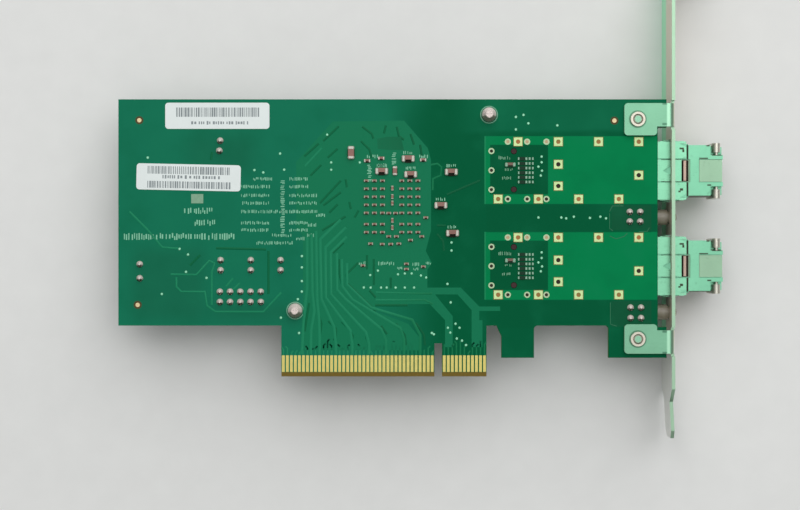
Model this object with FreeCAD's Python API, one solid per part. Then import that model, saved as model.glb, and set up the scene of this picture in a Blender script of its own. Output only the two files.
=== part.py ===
import FreeCAD, Part
import math
import os

from FreeCAD import Placement, Rotation, Vector

# Dual-port network interface card, solder side up, in millimetres.
# +X points to the ports, +Y away from the edge contacts, +Z out of the solder side.
# The origin is the middle of the key notch, on the tip line of the edge contacts, at mid board.

# Circuit board
board_thickness = 1.57
board_height = 68.9
board_left = -79.5
board_gap = 1.15
port_gap = 3.35
port_edge_low = 12.3
port_edge_high = 61.9
body_bottom = 12.65
hook_bottom = 4.65
relief_width = 3.7
relief_slope_run = 1.2
relief_slope_rise = 2.7
hook_width = 8.1
slot_width = 18.5
slot_corner = 0.9

# Edge contacts
contact_pitch = 1.0
contact_width = 0.7
contact_length = 4.1
contact_thickness = 0.05
contact_start = 1.15
key_side_contact = 1.5
contacts_before_key = 11
contacts_after_key = 38
tab_margin = 0.15
key_width = 1.9
key_depth = 8.25
bevel_length = 1.1
bevel_depth = 0.4

# Bracket, a folded sheet with its tabs on the solder side
sheet = 0.86
bracket_inner = 57.9
bracket_width = 18.42
bracket_solder_edge = 1.24
bracket_tip = -15.8
bracket_length = 120.02
bracket_bend = 0.45
flange_length = 11.43
flange_slot_width = 4.42
flange_slot_depth = 6.0
flange_slot_from_face = 5.9
flange_corner = 1.5
tongue_width = 10.19
tongue_top = -6.5
tongue_taper = 3.4
tongue_lean = 0.5
tongue_tip_chamfer = 2.0
tab_reach = 11.7
upper_tab_centre = 63.9
upper_tab_height = 8.0
lower_tab_centre = 9.35
lower_tab_height = 7.3
tab_neck_height = 5.8
tab_corner = 0.9
tab_shoulder = 3.6
bend_relief = 0.7
screw_from_face = 8.4
window_clearance = 0.6

# Bracket screws and the tapped collars that they enter
screw_diameter = 2.5
screw_hole = 2.9
thread_clearance = 0.02
collar_diameter = 3.6
collar_height = 0.75
screw_end_chamfer = 0.4
screw_head_diameter = 4.7
screw_head_height = 1.7
screw_recess_width = 0.8
screw_recess_depth = 0.9

# Controller, heat sink and the two sprung push pins that hold it
controller_from_cage = 24.56
controller_y = 40.73
controller_size = 25.0
controller_height = 2.2
lid_size = 20.0
lid_height = 0.7
pad_thickness = 0.3
sink_size = 44.0
sink_height = 11.4
sink_base = 2.0
sink_corner = 1.5
fin_count = 11
fin_thickness = 1.1
cross_cut_count = 3
cross_cut_width = 2.4
pin_spread_x = 48.2
pin_spread_y = 48.7
ear_radius = 3.55
push_pin_diameter = 2.6
push_pin_hole = 3.0
ear_hole_clearance = 0.2
push_head_diameter = 5.2
push_head_height = 1.0
barb_diameter = 3.4
barb_length = 2.4
barb_tip_diameter = 1.5
barb_split = 0.5
barb_seat = 0.05
spring_height = 4.6
spring_wire = 0.5
spring_wire_sides = 5
spring_turns = 3.5
spring_diameter = 4.3

# Cages
cage_upper = 51.24
cage_pitch = 23.8
cage_width = 14.5
cage_height = 9.5
cage_wall = 0.25
cage_reach = 4.0
cage_length = 48.8
cage_pin_pitch = 10.0
cage_pins_a_side = 4
cage_pin_last_from_front = 12.05
cage_pin_stagger = 4.95
cage_pin_width = 0.8
cage_pin_hole = 1.05
cage_pin_recess = 0.35
floor_pin_offset = -1.2
floor_pin_spread = 5.4
rear_pin_hole = 0.95
rear_pin_pitch = 4.8
rear_pin_first = 4.2
rear_pin_width = 0.6
cage_rear_opening = 13.6
latch_width = 5.3
latch_slit = 0.4
latch_length = 11.0
latch_setback = 1.2
latch_window = 2.6
latch_window_clearance = 0.3
cage_nick = 1.6
peg_diameter = 1.45
peg_hole = 1.55
peg_from_front = 43.1
peg_spread = 9.5
vent_pitch = 3.0
vent_size = 1.5
vent_rows = 3
vent_columns = 6

# Ground fingers around each cage, where it passes the bracket
band_thickness = 0.12
band_length = 1.2
band_from_front = 0.6
finger_length = 4.6
finger_rise = 0.32
finger_width = 3.3
finger_gap = 0.45

# Host connectors inside the cages
connector_width = 11.2
connector_length = 7.8
connector_height = 5.6
connector_rear_gap = 0.85
connector_slot_width = 9.6
connector_contact_pitch = 0.8
connector_contact_width = 0.4
connector_contact_thickness = 0.15
connector_contacts = 10
connector_foot = 0.7
connector_rear_wall = 0.8
plug_end_gap = 0.2
plug_clearance = 0.06
plug_height = 2.6

# Optical modules
nose_from_cage = 9.2
module_length = 56.5
module_width = 13.4
module_nose_width = 12.8
module_height = 8.5
module_gap = 0.25
module_wall = 1.0
module_floor = 1.7
stop_groove_width = 0.4
stop_groove_depth = 0.5
nose_step = 0.5
nose_rise = 1.0
cover_thickness = 0.5
module_board_thickness = 1.0
module_board_width = 11.0
plug_width = 9.2
plug_length = 7.6
rear_cutaway = 8.6
port_spacing = 6.25
port_width = 4.7
port_height = 4.7
port_depth = 7.4
port_keyway_width = 2.4
port_keyway_depth = 1.4
port_offset = -0.65
sleeve_diameter = 3.0
sleeve_reach = 2.6
sleeve_bore = 1.25
barrel_diameter = 5.0
barrel_length = 6.0
insert_thickness = 1.6
insert_clearance = 0.1
collar_thickness = 0.12
collar_length = 3.4

# Bail latch and the slider that it draws out
bail_sheet = 0.8
bail_width = 2.0
bail_span = 13.8
bail_pivot_from_nose = 1.5
bail_pivot_depth = 1.05
bail_clearance = 0.5
bail_corner = 1.2
bail_pin = 0.8
bail_pin_reach = 1.4
bail_lug = 1.5
bail_bore_clearance = 0.05
bail_gap = 0.1
seat_length = 3.1
seat_inner = 3.9
seat_depth = 2.15
slider_width = 5.5
slider_thickness = 0.6
slider_pad_length = 5.7
slider_recess = 0.15
slider_clearance = 0.1
slider_tail_gap = 0.5
slider_tail_length = 15.2
slider_fork_width = 3.2
slider_fork_length = 4.6
slider_bridge_length = 2.2
boss_length = 1.9
boss_width = 1.8
boss_height = 0.35

# Indicators
indicator_upper = 39.68
indicator_lower = 15.85
indicator_gap = 4.0
indicator_length = 8.3
indicator_width = 4.4
indicator_height = 9.6
indicator_notch = 1.2
lamp_count = 2
lamp_spacing = 4.2
lamp_first = 3.0
lamp_flange_diameter = 3.9
lamp_flange_length = 3.4
lamp_diameter = 3.0
lamp_clearance = 0.2
lamp_reach = 1.2

# Pin header
header_from_controller = 37.74
header_y = 19.78
header_pitch = 2.54
header_columns = 5
header_rows = 2
header_base = 2.5
header_pin = 0.64
header_pin_length = 8.5
header_corner = 0.35

# Radial capacitors
small_can_diameter = 6.3
small_can_height = 7.7
large_can_diameter = 8.0
large_can_height = 9.5
bung_height = 0.6
can_groove = 0.35
can_row_from_header = 4.8
can_row_y = 27.65
can_row_pitch = 7.45
can_row_count = 3
top_can_from_edge = 11.55
edge_can_from_edge = 5.4
edge_can_y = 26.1

# Surface-mounted parts on the component side
flash_from_controller = 32.54
flash_y = 42.0
flash_length = 5.0
flash_width = 4.0
flash_height = 1.6
flash_lead_pitch = 1.27
flash_lead_width = 0.42
flash_lead_reach = 1.0
flash_lead_thickness = 0.2
flash_leads_a_side = 4
flash_standoff = 0.15
crystal_from_controller = 30.54
crystal_from_edge = 8.9
crystal_length = 5.0
crystal_width = 3.2
crystal_height = 0.9
crystal_rim = 0.35
crystal_base_height = 0.55
inductor_x = -66.0
inductor_y = 46.0
inductor_size = 6.6
inductor_height = 3.0
inductor_corner = 1.3
inductor_pitch = 9.5
inductor_count = 2
regulator_size = 5.0
regulator_height = 0.9
regulator_pitch = 8.6

# Chip capacitors on the solder side
chip_length = 3.2
chip_width = 1.6
chip_height = 0.9
chip_end = 0.5
chip_end_proud = 0.06
medium_chip_length = 2.24
medium_chip_width = 1.12
medium_chip_height = 0.63
small_chip_length = 1.6
small_chip_width = 0.8
small_chip_height = 0.45
decoupler_length = 1.25
decoupler_width = 0.62
decoupler_height = 0.5
decoupler_pitch = 2.0
decoupler_first_column = 2.4
decoupler_column_count = 3
decoupler_top_row = 6.4
decoupler_top_row_count = 5
decoupler_low_drop = 10.8
decoupler_low_row_count = 2
decoupler_centre_y = 42.25
placement_grid = 0.1

# Labels
label_length = 25.9
label_height = 6.5
label_thickness = 0.08
label_corner = 0.8
label_1_x = -54.9
label_1_from_edge = 4.1
label_2_x = -62.05
label_2_y = 49.5
label_2_turn = -1.2

# Levels and edges that follow from the sizes above
solder_z = board_thickness / 2
component_z = -board_thickness / 2
tab_edge = key_side_contact + (contacts_before_key - 1) * contact_pitch + contact_width / 2 + tab_margin
long_tab_edge = -(key_side_contact + (contacts_after_key - 1) * contact_pitch + contact_width / 2 + tab_margin)
hook_left = tab_edge + relief_width
hook_right = hook_left + hook_width
foot_left = hook_right + slot_width
bracket_outer = bracket_inner + sheet
board_right = bracket_inner - board_gap
port_edge = bracket_inner - port_gap
cage_front = bracket_inner + cage_reach
module_nose = cage_front + nose_from_cage
bracket_top_z = solder_z + bracket_solder_edge
bracket_bottom_z = bracket_top_z - bracket_width
bracket_middle_z = (bracket_top_z + bracket_bottom_z) / 2
flange_y = bracket_tip + bracket_length
cage_centres = (cage_upper, cage_upper - cage_pitch)
cage_rear = cage_front - cage_length
controller_x = cage_rear - controller_from_cage
header_x = controller_x - header_from_controller
can_row_x = header_x - can_row_from_header
edge_can_x = board_left + edge_can_from_edge
flash_x = controller_x - flash_from_controller
crystal_x = controller_x - crystal_from_controller
cage_pin_first = cage_front - cage_pin_last_from_front - (cage_pins_a_side - 1) * cage_pin_pitch
peg_x = cage_front - peg_from_front
indicator_front = bracket_inner - indicator_gap
indicator_rear = indicator_front - indicator_length
cage_ceiling_z = component_z - cage_height
screw_x = bracket_inner - screw_from_face
tab_top_z = solder_z + sheet
module_rear = module_nose - module_length
module_skin_z = component_z - cage_wall - module_gap
module_far_z = module_skin_z - module_height
nose_start = cage_front + nose_step
pivot_x = module_nose - bail_pivot_from_nose
pivot_z = module_skin_z - bail_pivot_depth
nose_far_z = module_far_z - nose_rise
bail_swing = math.hypot(bail_pivot_from_nose, pivot_z - nose_far_z) + bail_clearance
slider_top_z = module_skin_z - slider_tail_gap
slider_under_z = slider_top_z - slider_thickness
slider_front = module_nose - slider_recess
connector_rear = cage_rear + cage_wall + connector_rear_gap
connector_front = connector_rear + connector_length
plug_z = component_z - plug_height - module_board_thickness / 2
module_centre_z = (module_skin_z + module_far_z) / 2
port_z = module_centre_z + port_offset
sink_top_z = component_z - controller_height - lid_height - pad_thickness
sink_bottom_z = sink_top_z - sink_height
push_pins = (
    (controller_x + pin_spread_x / 2, controller_y + pin_spread_y / 2),
    (controller_x - pin_spread_x / 2, controller_y - pin_spread_y / 2),
)


def block(x0, x1, y0, y1, z0, z1):
    """A box between two opposite corners."""
    return Part.makeBox(x1 - x0, y1 - y0, z1 - z0, Vector(x0, y0, z0))


def centred(x, y, length, width, z0, z1):
    """A box centred on x and y."""
    return block(x - length / 2, x + length / 2, y - width / 2, y + width / 2, z0, z1)


def post(x, y, diameter, z0, z1):
    """A cylinder standing along Z."""
    return Part.makeCylinder(diameter / 2, z1 - z0, Vector(x, y, z0))


def rod_x(y, z, diameter, x0, x1):
    """A cylinder lying along X."""
    return Part.makeCylinder(diameter / 2, x1 - x0, Vector(x0, y, z), Vector(1, 0, 0))


def rod_y(x, z, diameter, y0, y1):
    """A cylinder lying along Y."""
    return Part.makeCylinder(diameter / 2, y1 - y0, Vector(x, y0, z), Vector(0, 1, 0))


def prism(points, sweep):
    """A solid swept from a closed polygon."""
    corners = [Vector(*point) for point in points]
    return Part.Face(Part.makePolygon(corners + corners[:1])).extrude(Vector(*sweep))


def turned(profile, x, y):
    """A solid of revolution about the vertical axis through x, y; the profile holds radius, z pairs."""
    corners = [Vector(radius, 0, z) for radius, z in profile]
    face = Part.Face(Part.makePolygon(corners + corners[:1]))
    return face.revolve(Vector(0, 0, 0), Vector(0, 0, 1), 360).translated(Vector(x, y, 0))


def edges_along(shape, axis, within=None):
    """The straight edges that run along an axis, inside an optional box."""
    found = []
    for edge in shape.Edges:
        if edge.Curve.TypeId != "Part::GeomLine":
            continue
        if abs(edge.tangentAt(edge.FirstParameter).dot(axis)) < 0.999:
            continue
        if within is None or within.isInside(edge.CenterOfMass):
            found.append(edge)
    return found


def rounded(shape, radius, axis, within=None):
    """The shape with the chosen straight edges rounded."""
    return shape.makeFillet(radius, edges_along(shape, axis, within))


def join(shapes):
    """One solid from touching or overlapping ones."""
    return shapes[0].multiFuse(shapes[1:]).removeSplitter()


def rounded_plate(x, y, length, width, z0, z1, corner):
    """A flat plate with round corners."""
    return rounded(centred(x, y, length, width, z0, z1), corner, Vector(0, 0, 1))


def copies_at_cages(shape):
    """One copy of a shape drawn on the X axis for each cage."""
    return [shape.translated(Vector(0, y, 0)) for y in cage_centres]


# Where the cage pins, pegs and fasteners pass the board

def side_pin_places():
    """The two staggered rows along the side walls of a cage drawn on the X axis."""
    row = (cage_width - cage_wall) / 2
    first = cage_pin_first - cage_pin_stagger
    places = [(cage_pin_first + i * cage_pin_pitch, row) for i in range(cage_pins_a_side)]
    places += [(first + i * cage_pin_pitch, -row) for i in range(cage_pins_a_side)]
    return places


def floor_pin_places():
    """The three pins bent out of the floor of a cage drawn on the X axis."""
    inner_x = cage_pin_first + cage_pin_pitch
    places = [(inner_x, floor_pin_offset + side * floor_pin_spread / 2) for side in (-1, 1)]
    places.append((cage_front - cage_pin_last_from_front, floor_pin_offset))
    return places


def rear_wall_pin_places():
    """The three smaller pins of the rear wall of a cage drawn on the X axis."""
    return [(cage_rear + cage_wall / 2, i * rear_pin_pitch) for i in (-1, 0, 1)]


def rear_side_pin_places():
    """The smaller pins of the side walls, near the rear, of a cage drawn on the X axis."""
    row = (cage_width - cage_wall) / 2
    first = cage_rear + rear_pin_first
    return [(first + i * rear_pin_pitch, side * row) for i in range(3) for side in (-1, 1)]


def board_holes():
    """Every hole through the board, as cylinders a little longer than the board is thick."""
    low = component_z - 1
    high = solder_z + 1
    holes = []
    for x, y in side_pin_places() + floor_pin_places():
        holes += copies_at_cages(post(x, y, cage_pin_hole, low, high))
    for x, y in rear_wall_pin_places() + rear_side_pin_places():
        holes += copies_at_cages(post(x, y, rear_pin_hole, low, high))
    for side in (-1, 1):
        holes += copies_at_cages(post(peg_x, side * peg_spread / 2, peg_hole, low, high))
    for x, y in push_pins:
        holes.append(post(x, y, push_pin_hole, low, high))
    for y in (upper_tab_centre, lower_tab_centre):
        holes.append(post(screw_x, y, screw_hole, low, high))
    return holes


# The board and its edge contacts

def circuit_board():
    """The laminate, cut to its outline with a bevelled contact edge and its holes."""
    bottom = -1
    low = component_z - 1
    high = solder_z + 1
    board = block(board_left, board_right, 0, board_height, component_z, solder_z)
    slot = block(hook_right, foot_left, bottom, body_bottom, low, high)
    slot = rounded(
        slot, slot_corner, Vector(0, 0, 1), FreeCAD.BoundBox(0, 0, low, board_right, board_height, high)
    )
    waste = [
        block(board_left - 1, long_tab_edge, bottom, body_bottom, low, high),
        block(-key_width / 2, key_width / 2, bottom, key_depth, low, high),
        block(tab_edge, hook_left, bottom, body_bottom, low, high),
    ]
    slope = prism(
        [
            (hook_left - relief_slope_run, body_bottom, component_z),
            (hook_left, body_bottom, component_z),
            (hook_left, body_bottom - relief_slope_rise, component_z),
        ],
        (0, 0, board_thickness),
    )
    waste += [
        block(hook_left, hook_right, bottom, hook_bottom, low, high),
        block(foot_left, board_right + 1, bottom, hook_bottom, low, high),
        block(port_edge, board_right + 1, port_edge_low, port_edge_high, low, high),
        slot,
    ]
    for side in (-1, 1):
        face = side * board_thickness / 2
        waste.append(
            prism(
                [(board_left, 0, face), (board_left, bevel_length, face),
                    (board_left, 0, face - side * bevel_depth)],
                (board_right - board_left, 0, 0),
            )
        )
    return board.cut(waste).fuse(slope).cut(board_holes()).removeSplitter()


def edge_contacts(side):
    """The row of plated contacts on one face of the board."""
    near = side * board_thickness / 2
    far = near + side * contact_thickness
    places = [key_side_contact + i * contact_pitch for i in range(contacts_before_key)]
    places += [-key_side_contact - i * contact_pitch for i in range(contacts_after_key)]
    end = contact_start + contact_length
    half = contact_width / 2
    return [block(x - half, x + half, contact_start, end, min(near, far), max(near, far)) for x in places]


# The bracket and its screws

def bracket_tab(centre, height, neck_side):
    """One mounting tab: a flat plate on the solder side and the bend that carries it, with its
    tapped collar."""
    tab_x = bracket_inner - tab_reach
    low = centre - height / 2
    high = centre + height / 2
    neck_low = low if neck_side < 0 else high - tab_neck_height
    neck_high = neck_low + tab_neck_height
    shoulder_x = bracket_inner - tab_shoulder
    bend_x = bracket_inner - bracket_bend
    bend_z = solder_z - bracket_bend
    plate = block(tab_x, shoulder_x, low, high, solder_z, tab_top_z)
    plate = rounded(plate, tab_corner, Vector(0, 0, 1))
    neck = block(shoulder_x - tab_corner, bend_x, neck_low, neck_high, solder_z, tab_top_z)
    corner_outer = rod_y(bend_x, bend_z, 2 * (bracket_bend + sheet), neck_low, neck_high)
    corner_inner = rod_y(bend_x, bend_z, 2 * bracket_bend, neck_low - 1, neck_high + 1)
    quarter = block(bend_x, bracket_outer, neck_low, neck_high, bend_z, tab_top_z)
    bend = corner_outer.common(quarter).cut(corner_inner)
    collar = post(screw_x, centre, collar_diameter, tab_top_z - sheet / 2, tab_top_z + collar_height)
    tab = join([plate, neck, bend, collar])
    bore = post(screw_x, centre, screw_diameter + 2 * thread_clearance, solder_z - 1,
        tab_top_z + collar_height + 1)
    return tab.cut(bore), neck_low, neck_high


def bracket_outline():
    """The bracket seen along X: a long panel that narrows to its tongue, thick enough to trim the
    folded profile."""
    start = bracket_inner - flange_length
    narrow = tongue_width / 2
    wide = bracket_width / 2
    middle = bracket_middle_z
    tip = narrow - tongue_tip_chamfer
    half = [
        (bracket_tip, tip),
        (bracket_tip + tongue_tip_chamfer, narrow),
        (tongue_top, narrow),
        (tongue_top + tongue_taper, wide),
        (flange_y + sheet, wide),
    ]
    points = [(start, y, middle + z) for y, z in half]
    points += [(start, y, middle - z) for y, z in reversed(half)]
    return prism(points, (3 * flange_length, 0, 0))


def bracket():
    """The folded steel bracket: panel, leaning tongue, outward flange, two port windows, lamp
    holes and two tabs."""
    bend = bracket_bend + sheet
    flange_under = flange_y - sheet
    panel = prism(
        [
            (bracket_inner + tongue_lean, bracket_tip, bracket_bottom_z),
            (bracket_outer + tongue_lean, bracket_tip, bracket_bottom_z),
            (bracket_outer, tongue_top, bracket_bottom_z),
            (bracket_outer, flange_under, bracket_bottom_z),
            (bracket_inner + flange_length, flange_under, bracket_bottom_z),
            (bracket_inner + flange_length, flange_y, bracket_bottom_z),
            (bracket_inner, flange_y, bracket_bottom_z),
            (bracket_inner, tongue_top, bracket_bottom_z),
        ],
        (0, 0, bracket_width),
    )
    along_z = Vector(0, 0, 1)
    inner_corner = FreeCAD.BoundBox(
        bracket_outer - 0.1, flange_under - 0.1, bracket_bottom_z, bracket_outer + 0.1, flange_under + 0.1, bracket_top_z
    )
    outer_corner = FreeCAD.BoundBox(
        bracket_inner - 0.1, flange_y - 0.1, bracket_bottom_z, bracket_inner + 0.1, flange_y + 0.1, bracket_top_z
    )
    panel = rounded(panel, bracket_bend, along_z, inner_corner)
    panel = rounded(panel, bend, along_z, outer_corner)
    panel = panel.common(bracket_outline())
    low = bracket_inner - 1
    high = bracket_outer + 1
    waste = []
    tabs = []
    for centre, height, neck_side in (
        (upper_tab_centre, upper_tab_height, 1),
        (lower_tab_centre, lower_tab_height, -1),
    ):
        tab, neck_low, neck_high = bracket_tab(centre, height, neck_side)
        tabs.append(tab)
        relief_z = solder_z - bracket_bend
        waste.append(block(low, high, neck_low - bend_relief, neck_high + bend_relief, relief_z,
            bracket_top_z + 1))
    for y in cage_centres:
        half = cage_width / 2 + window_clearance
        top = component_z + window_clearance
        waste.append(block(low, high, y - half, y + half, cage_ceiling_z - window_clearance, top))
    for y in (indicator_upper, indicator_lower):
        for i in range(lamp_count):
            z = component_z - lamp_first - i * lamp_spacing
            waste.append(rod_x(y, z, lamp_diameter + 2 * lamp_clearance, low, high))
    waste.append(flange_slot())
    return join([panel.cut(waste)] + tabs)


def flange_slot():
    """The open slot in the flange that the fixing screw of the slot enters from the solder-side edge."""
    x = bracket_inner + flange_slot_from_face
    low = flange_y - 2 * sheet
    end_z = bracket_top_z - flange_slot_depth + flange_slot_width / 2
    half = flange_slot_width / 2
    straight = block(x - half, x + half, low, flange_y + sheet, end_z, bracket_top_z + 1)
    return straight.fuse(rod_y(x, end_z, flange_slot_width, low, flange_y + sheet))


def bracket_screws():
    """Pan-head screws that enter from the component side and end in the collars."""
    radius = screw_diameter / 2
    head = screw_head_diameter / 2
    end_z = tab_top_z + collar_height
    under = component_z - screw_head_height
    screws = []
    for y in (upper_tab_centre, lower_tab_centre):
        profile = [
            (0, under),
            (head * 0.6, under),
            (head, under + screw_head_height * 0.45),
            (head, component_z),
            (radius, component_z),
            (radius, end_z - screw_end_chamfer),
            (radius - screw_end_chamfer, end_z),
            (0, end_z),
        ]
        screw = turned(profile, screw_x, y)
        arm = screw_recess_width
        reach = 0.55 * screw_head_diameter
        top = under + screw_recess_depth
        cross = centred(screw_x, y, arm, reach, under - 1, top).fuse(
            centred(screw_x, y, reach, arm, under - 1, top)
        )
        screws.append(screw.cut(cross))
    return screws


# The controller and its heat sink

def controller_chip():
    """A ball-grid package: substrate with a smaller moulded lid."""
    lid_z = component_z - controller_height
    substrate = centred(controller_x, controller_y, controller_size, controller_size, lid_z, component_z)
    lid = centred(controller_x, controller_y, lid_size, lid_size, lid_z - lid_height, lid_z)
    return join([substrate, lid])


def thermal_pad():
    """The thermal interface between the lid and the heat sink."""
    return centred(controller_x, controller_y, lid_size, lid_size, sink_top_z, sink_top_z + pad_thickness)


def heat_sink():
    """An extruded heat sink with cross cuts, and a lobe at two opposite corners for the push pins."""
    base_z = sink_top_z - sink_base
    sink = rounded_plate(
        controller_x, controller_y, sink_size, sink_size, base_z, sink_top_z, sink_corner
    )
    for x, y in push_pins:
        inward_x = x + (controller_x - x) * 0.3
        inward_y = y + (controller_y - y) * 0.3
        lobe = post(x, y, 2 * ear_radius, base_z, sink_top_z)
        arm = centred(0, 0, 2 * math.hypot(x - inward_x, y - inward_y), 2 * ear_radius, base_z,
            sink_top_z)
        turn = math.degrees(math.atan2(y - inward_y, x - inward_x))
        arm.Placement = Placement(Vector(inward_x, inward_y, 0), Rotation(Vector(0, 0, 1), turn))
        sink = sink.fuse([lobe,
            arm.common(centred(inward_x, inward_y, sink_size, sink_size, base_z, sink_top_z))])
    pitch = (sink_size - fin_thickness) / (fin_count - 1)
    fins = []
    for i in range(fin_count):
        y = controller_y - sink_size / 2 + fin_thickness / 2 + i * pitch
        fins.append(centred(controller_x, y, sink_size - 2 * sink_corner, fin_thickness, sink_bottom_z,
            base_z))
    fins = Part.makeCompound(fins)
    cuts = []
    cut_pitch = sink_size / (cross_cut_count + 1)
    for i in range(cross_cut_count):
        x = controller_x - sink_size / 2 + (i + 1) * cut_pitch
        cuts.append(centred(x, controller_y, cross_cut_width, sink_size + 2, sink_bottom_z - 1, base_z))
    for x, y in push_pins:
        cuts.append(post(x, y, push_head_diameter + 2.5, sink_bottom_z - 1, base_z))
    fins = fins.cut(cuts)
    holes = [
        post(x, y, push_pin_diameter + 2 * ear_hole_clearance, base_z - 1, sink_top_z + 1)
        for x, y in push_pins
    ]
    return join([sink] + fins.Solids).cut(holes)


def push_pin_shapes():
    """Sprung push pins with split barbs on the solder side of the board."""
    radius = push_pin_diameter / 2
    head_z = sink_top_z - sink_base - spring_height
    barb_z = solder_z + barb_seat
    profile = [
        (0, head_z - push_head_height),
        (push_head_diameter / 2, head_z - push_head_height),
        (push_head_diameter / 2, head_z),
        (radius, head_z),
        (radius, barb_z),
        (barb_diameter / 2, barb_z),
        (barb_diameter / 2, barb_z + barb_length * 0.3),
        (barb_tip_diameter / 2, barb_z + barb_length),
        (0, barb_z + barb_length),
    ]
    pins = []
    for x, y in push_pins:
        pin = turned(profile, x, y)
        top = barb_z + barb_length + 1
        splits = [
            centred(x, y, barb_split, 2 * barb_diameter, component_z, top),
            centred(x, y, 2 * barb_diameter, barb_split, component_z, top),
        ]
        pins.append(pin.cut(splits))
    return pins


def push_pin_springs():
    """The compression springs between the push pin heads and the heat sink lobes."""
    low = sink_top_z - sink_base - spring_height + spring_wire / 2
    rise = spring_height - spring_wire
    mean_radius = (spring_diameter - spring_wire) / 2
    springs = []
    for x, y in push_pins:
        helix = Part.makeHelix(rise / spring_turns, rise, mean_radius)
        start = Vector(mean_radius, 0, 0)
        points = []
        for i in range(spring_wire_sides):
            angle = 2 * math.pi * i / spring_wire_sides
            offset = Vector(math.cos(angle), 0, math.sin(angle)) * (spring_wire / 2)
            points.append(start + offset)
        section = Part.makePolygon(points + points[:1])
        sweep = Part.BRepOffsetAPI.MakePipeShell(Part.Wire(helix.Edges))
        sweep.setFrenetMode(True)
        sweep.add(section)
        sweep.build()
        sweep.makeSolid()
        springs.append(sweep.shape().translated(Vector(x, y, low)))
    return springs


# The cages, their ground fingers and the host connectors

def cage():
    """One folded cage drawn on the X axis, open at the front, with its pins, vents and sprung
    latch tongue."""
    half = cage_width / 2
    outer = block(cage_rear, cage_front, -half, half, cage_ceiling_z, component_z)
    inner = block(
        cage_rear + cage_wall,
        cage_front + 1,
        -half + cage_wall,
        half - cage_wall,
        cage_ceiling_z + cage_wall,
        component_z - cage_wall,
    )
    floor_low = component_z - 2 * cage_wall
    floor_high = component_z + 1
    waste = [inner]
    waste.append(
        block(
            cage_rear + cage_wall,
            cage_rear + cage_wall + cage_rear_opening,
            -half + 2 * cage_wall,
            half - 2 * cage_wall,
            floor_low,
            floor_high,
        )
    )
    tongue = latch_width / 2
    for side in (-1, 1):
        slit_y = sorted((side * tongue, side * (tongue + latch_slit)))
        waste.append(block(cage_front - latch_length, cage_front + 1, *slit_y, floor_low, floor_high))
        nick = [(cage_front - cage_nick, side * half * 0.93), (cage_front, side * half * 0.80)]
        nick.append((cage_front, side * half * 0.93))
        waste.append(prism([(x, y, floor_low) for x, y in nick], (0, 0, 2)))
    waste.append(block(cage_front - latch_setback, cage_front + 1, -tongue, tongue, floor_low,
        floor_high))
    window_x = boss_front() + latch_window_clearance
    half_base = latch_window * 0.6
    window = [(window_x, -half_base), (window_x, half_base), (window_x - latch_window, 0)]
    waste.append(prism([(x, y, floor_low) for x, y in window], (0, 0, 2)))
    first_vent = cage_front - 12.0 - (vent_columns - 1) * vent_pitch
    for i in range(vent_columns):
        for j in range(vent_rows):
            x = first_vent + i * vent_pitch
            y = (j - (vent_rows - 1) / 2) * vent_pitch
            low = cage_ceiling_z - 1
            waste.append(centred(x, y, vent_size, vent_size, low, cage_ceiling_z + 2 * cage_wall))
    body = outer.cut(waste)
    pin_end = solder_z - cage_pin_recess
    pins = []
    for x, y in side_pin_places():
        pins.append(centred(x, y, cage_pin_width, cage_wall, component_z - cage_wall, pin_end))
    for x, y in rear_side_pin_places():
        pins.append(centred(x, y, rear_pin_width, cage_wall, component_z - cage_wall, pin_end))
    for x, y in rear_wall_pin_places():
        pins.append(centred(x, y, cage_wall, rear_pin_width, component_z - cage_wall, pin_end))
    for x, y in floor_pin_places():
        pins.append(centred(x, y, cage_pin_width, cage_wall, component_z - cage_wall, pin_end))
    return join([body] + pins)


def boss_front():
    """Where the flat front face of the latch boss stands."""
    return cage_front - latch_length / 2 + boss_length


def finger_strip(length, rise):
    """The side view of a sprung finger: it leaves its band, bows outward and returns, as X and
    height pairs."""
    front = cage_front - band_from_front - band_length
    outer = [(front, 0), (front - 0.45 * length, rise), (front - length, 0.1 * rise)]
    under = [(x, z + band_thickness) for x, z in outer]
    return outer + under[::-1]


def ground_fingers():
    """The sprung strip wrapped round a cage drawn on the X axis: a band with fingers that bow
    toward the bracket."""
    half = cage_width / 2
    front = cage_front - band_from_front
    rear = front - band_length
    grown = half + band_thickness
    low = cage_ceiling_z - band_thickness
    band = block(rear, front, -grown, grown, low, component_z)
    band = band.cut(block(rear - 1, front + 1, -half, half, cage_ceiling_z, component_z + 1))
    strip = finger_strip(finger_length, finger_rise)
    pieces = [band]
    step = finger_width + finger_gap
    for i in (-1, 0, 1):
        y = i * step - finger_width / 2
        points = [(x, y, cage_ceiling_z - z) for x, z in strip]
        pieces.append(prism(points, (0, finger_width, 0)))
    middle_z = (cage_ceiling_z + component_z) / 2
    for side in (-1, 1):
        for i in (-0.5, 0.5):
            z = middle_z + i * step - finger_width / 2
            points = [(x, side * (half + height), z) for x, height in strip]
            pieces.append(prism(points, (0, 0, finger_width)))
    return join(pieces)


def host_connector():
    """The housing of the card-edge connector inside a cage drawn on the X axis."""
    bottom = component_z - connector_height
    body = block(
        connector_rear, connector_front, -connector_width / 2, connector_width / 2, bottom, component_z
    )
    half = module_board_thickness / 2 + plug_clearance + connector_contact_thickness
    slot = block(
        connector_rear + connector_rear_wall,
        connector_front + 1,
        -connector_slot_width / 2,
        connector_slot_width / 2,
        plug_z - half,
        plug_z + half,
    )
    row = (connector_contacts - 1) * connector_contact_pitch + connector_contact_width
    window = block(
        connector_rear - 1,
        connector_rear + 1,
        -row / 2,
        row / 2,
        plug_z - half,
        plug_z - half + connector_contact_thickness,
    )
    pegs = []
    for side in (-1, 1):
        pegs.append(post(peg_x, side * peg_spread / 2, peg_diameter, component_z,
            solder_z - cage_pin_recess))
    return join([body.cut([slot, window])] + pegs)


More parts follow.
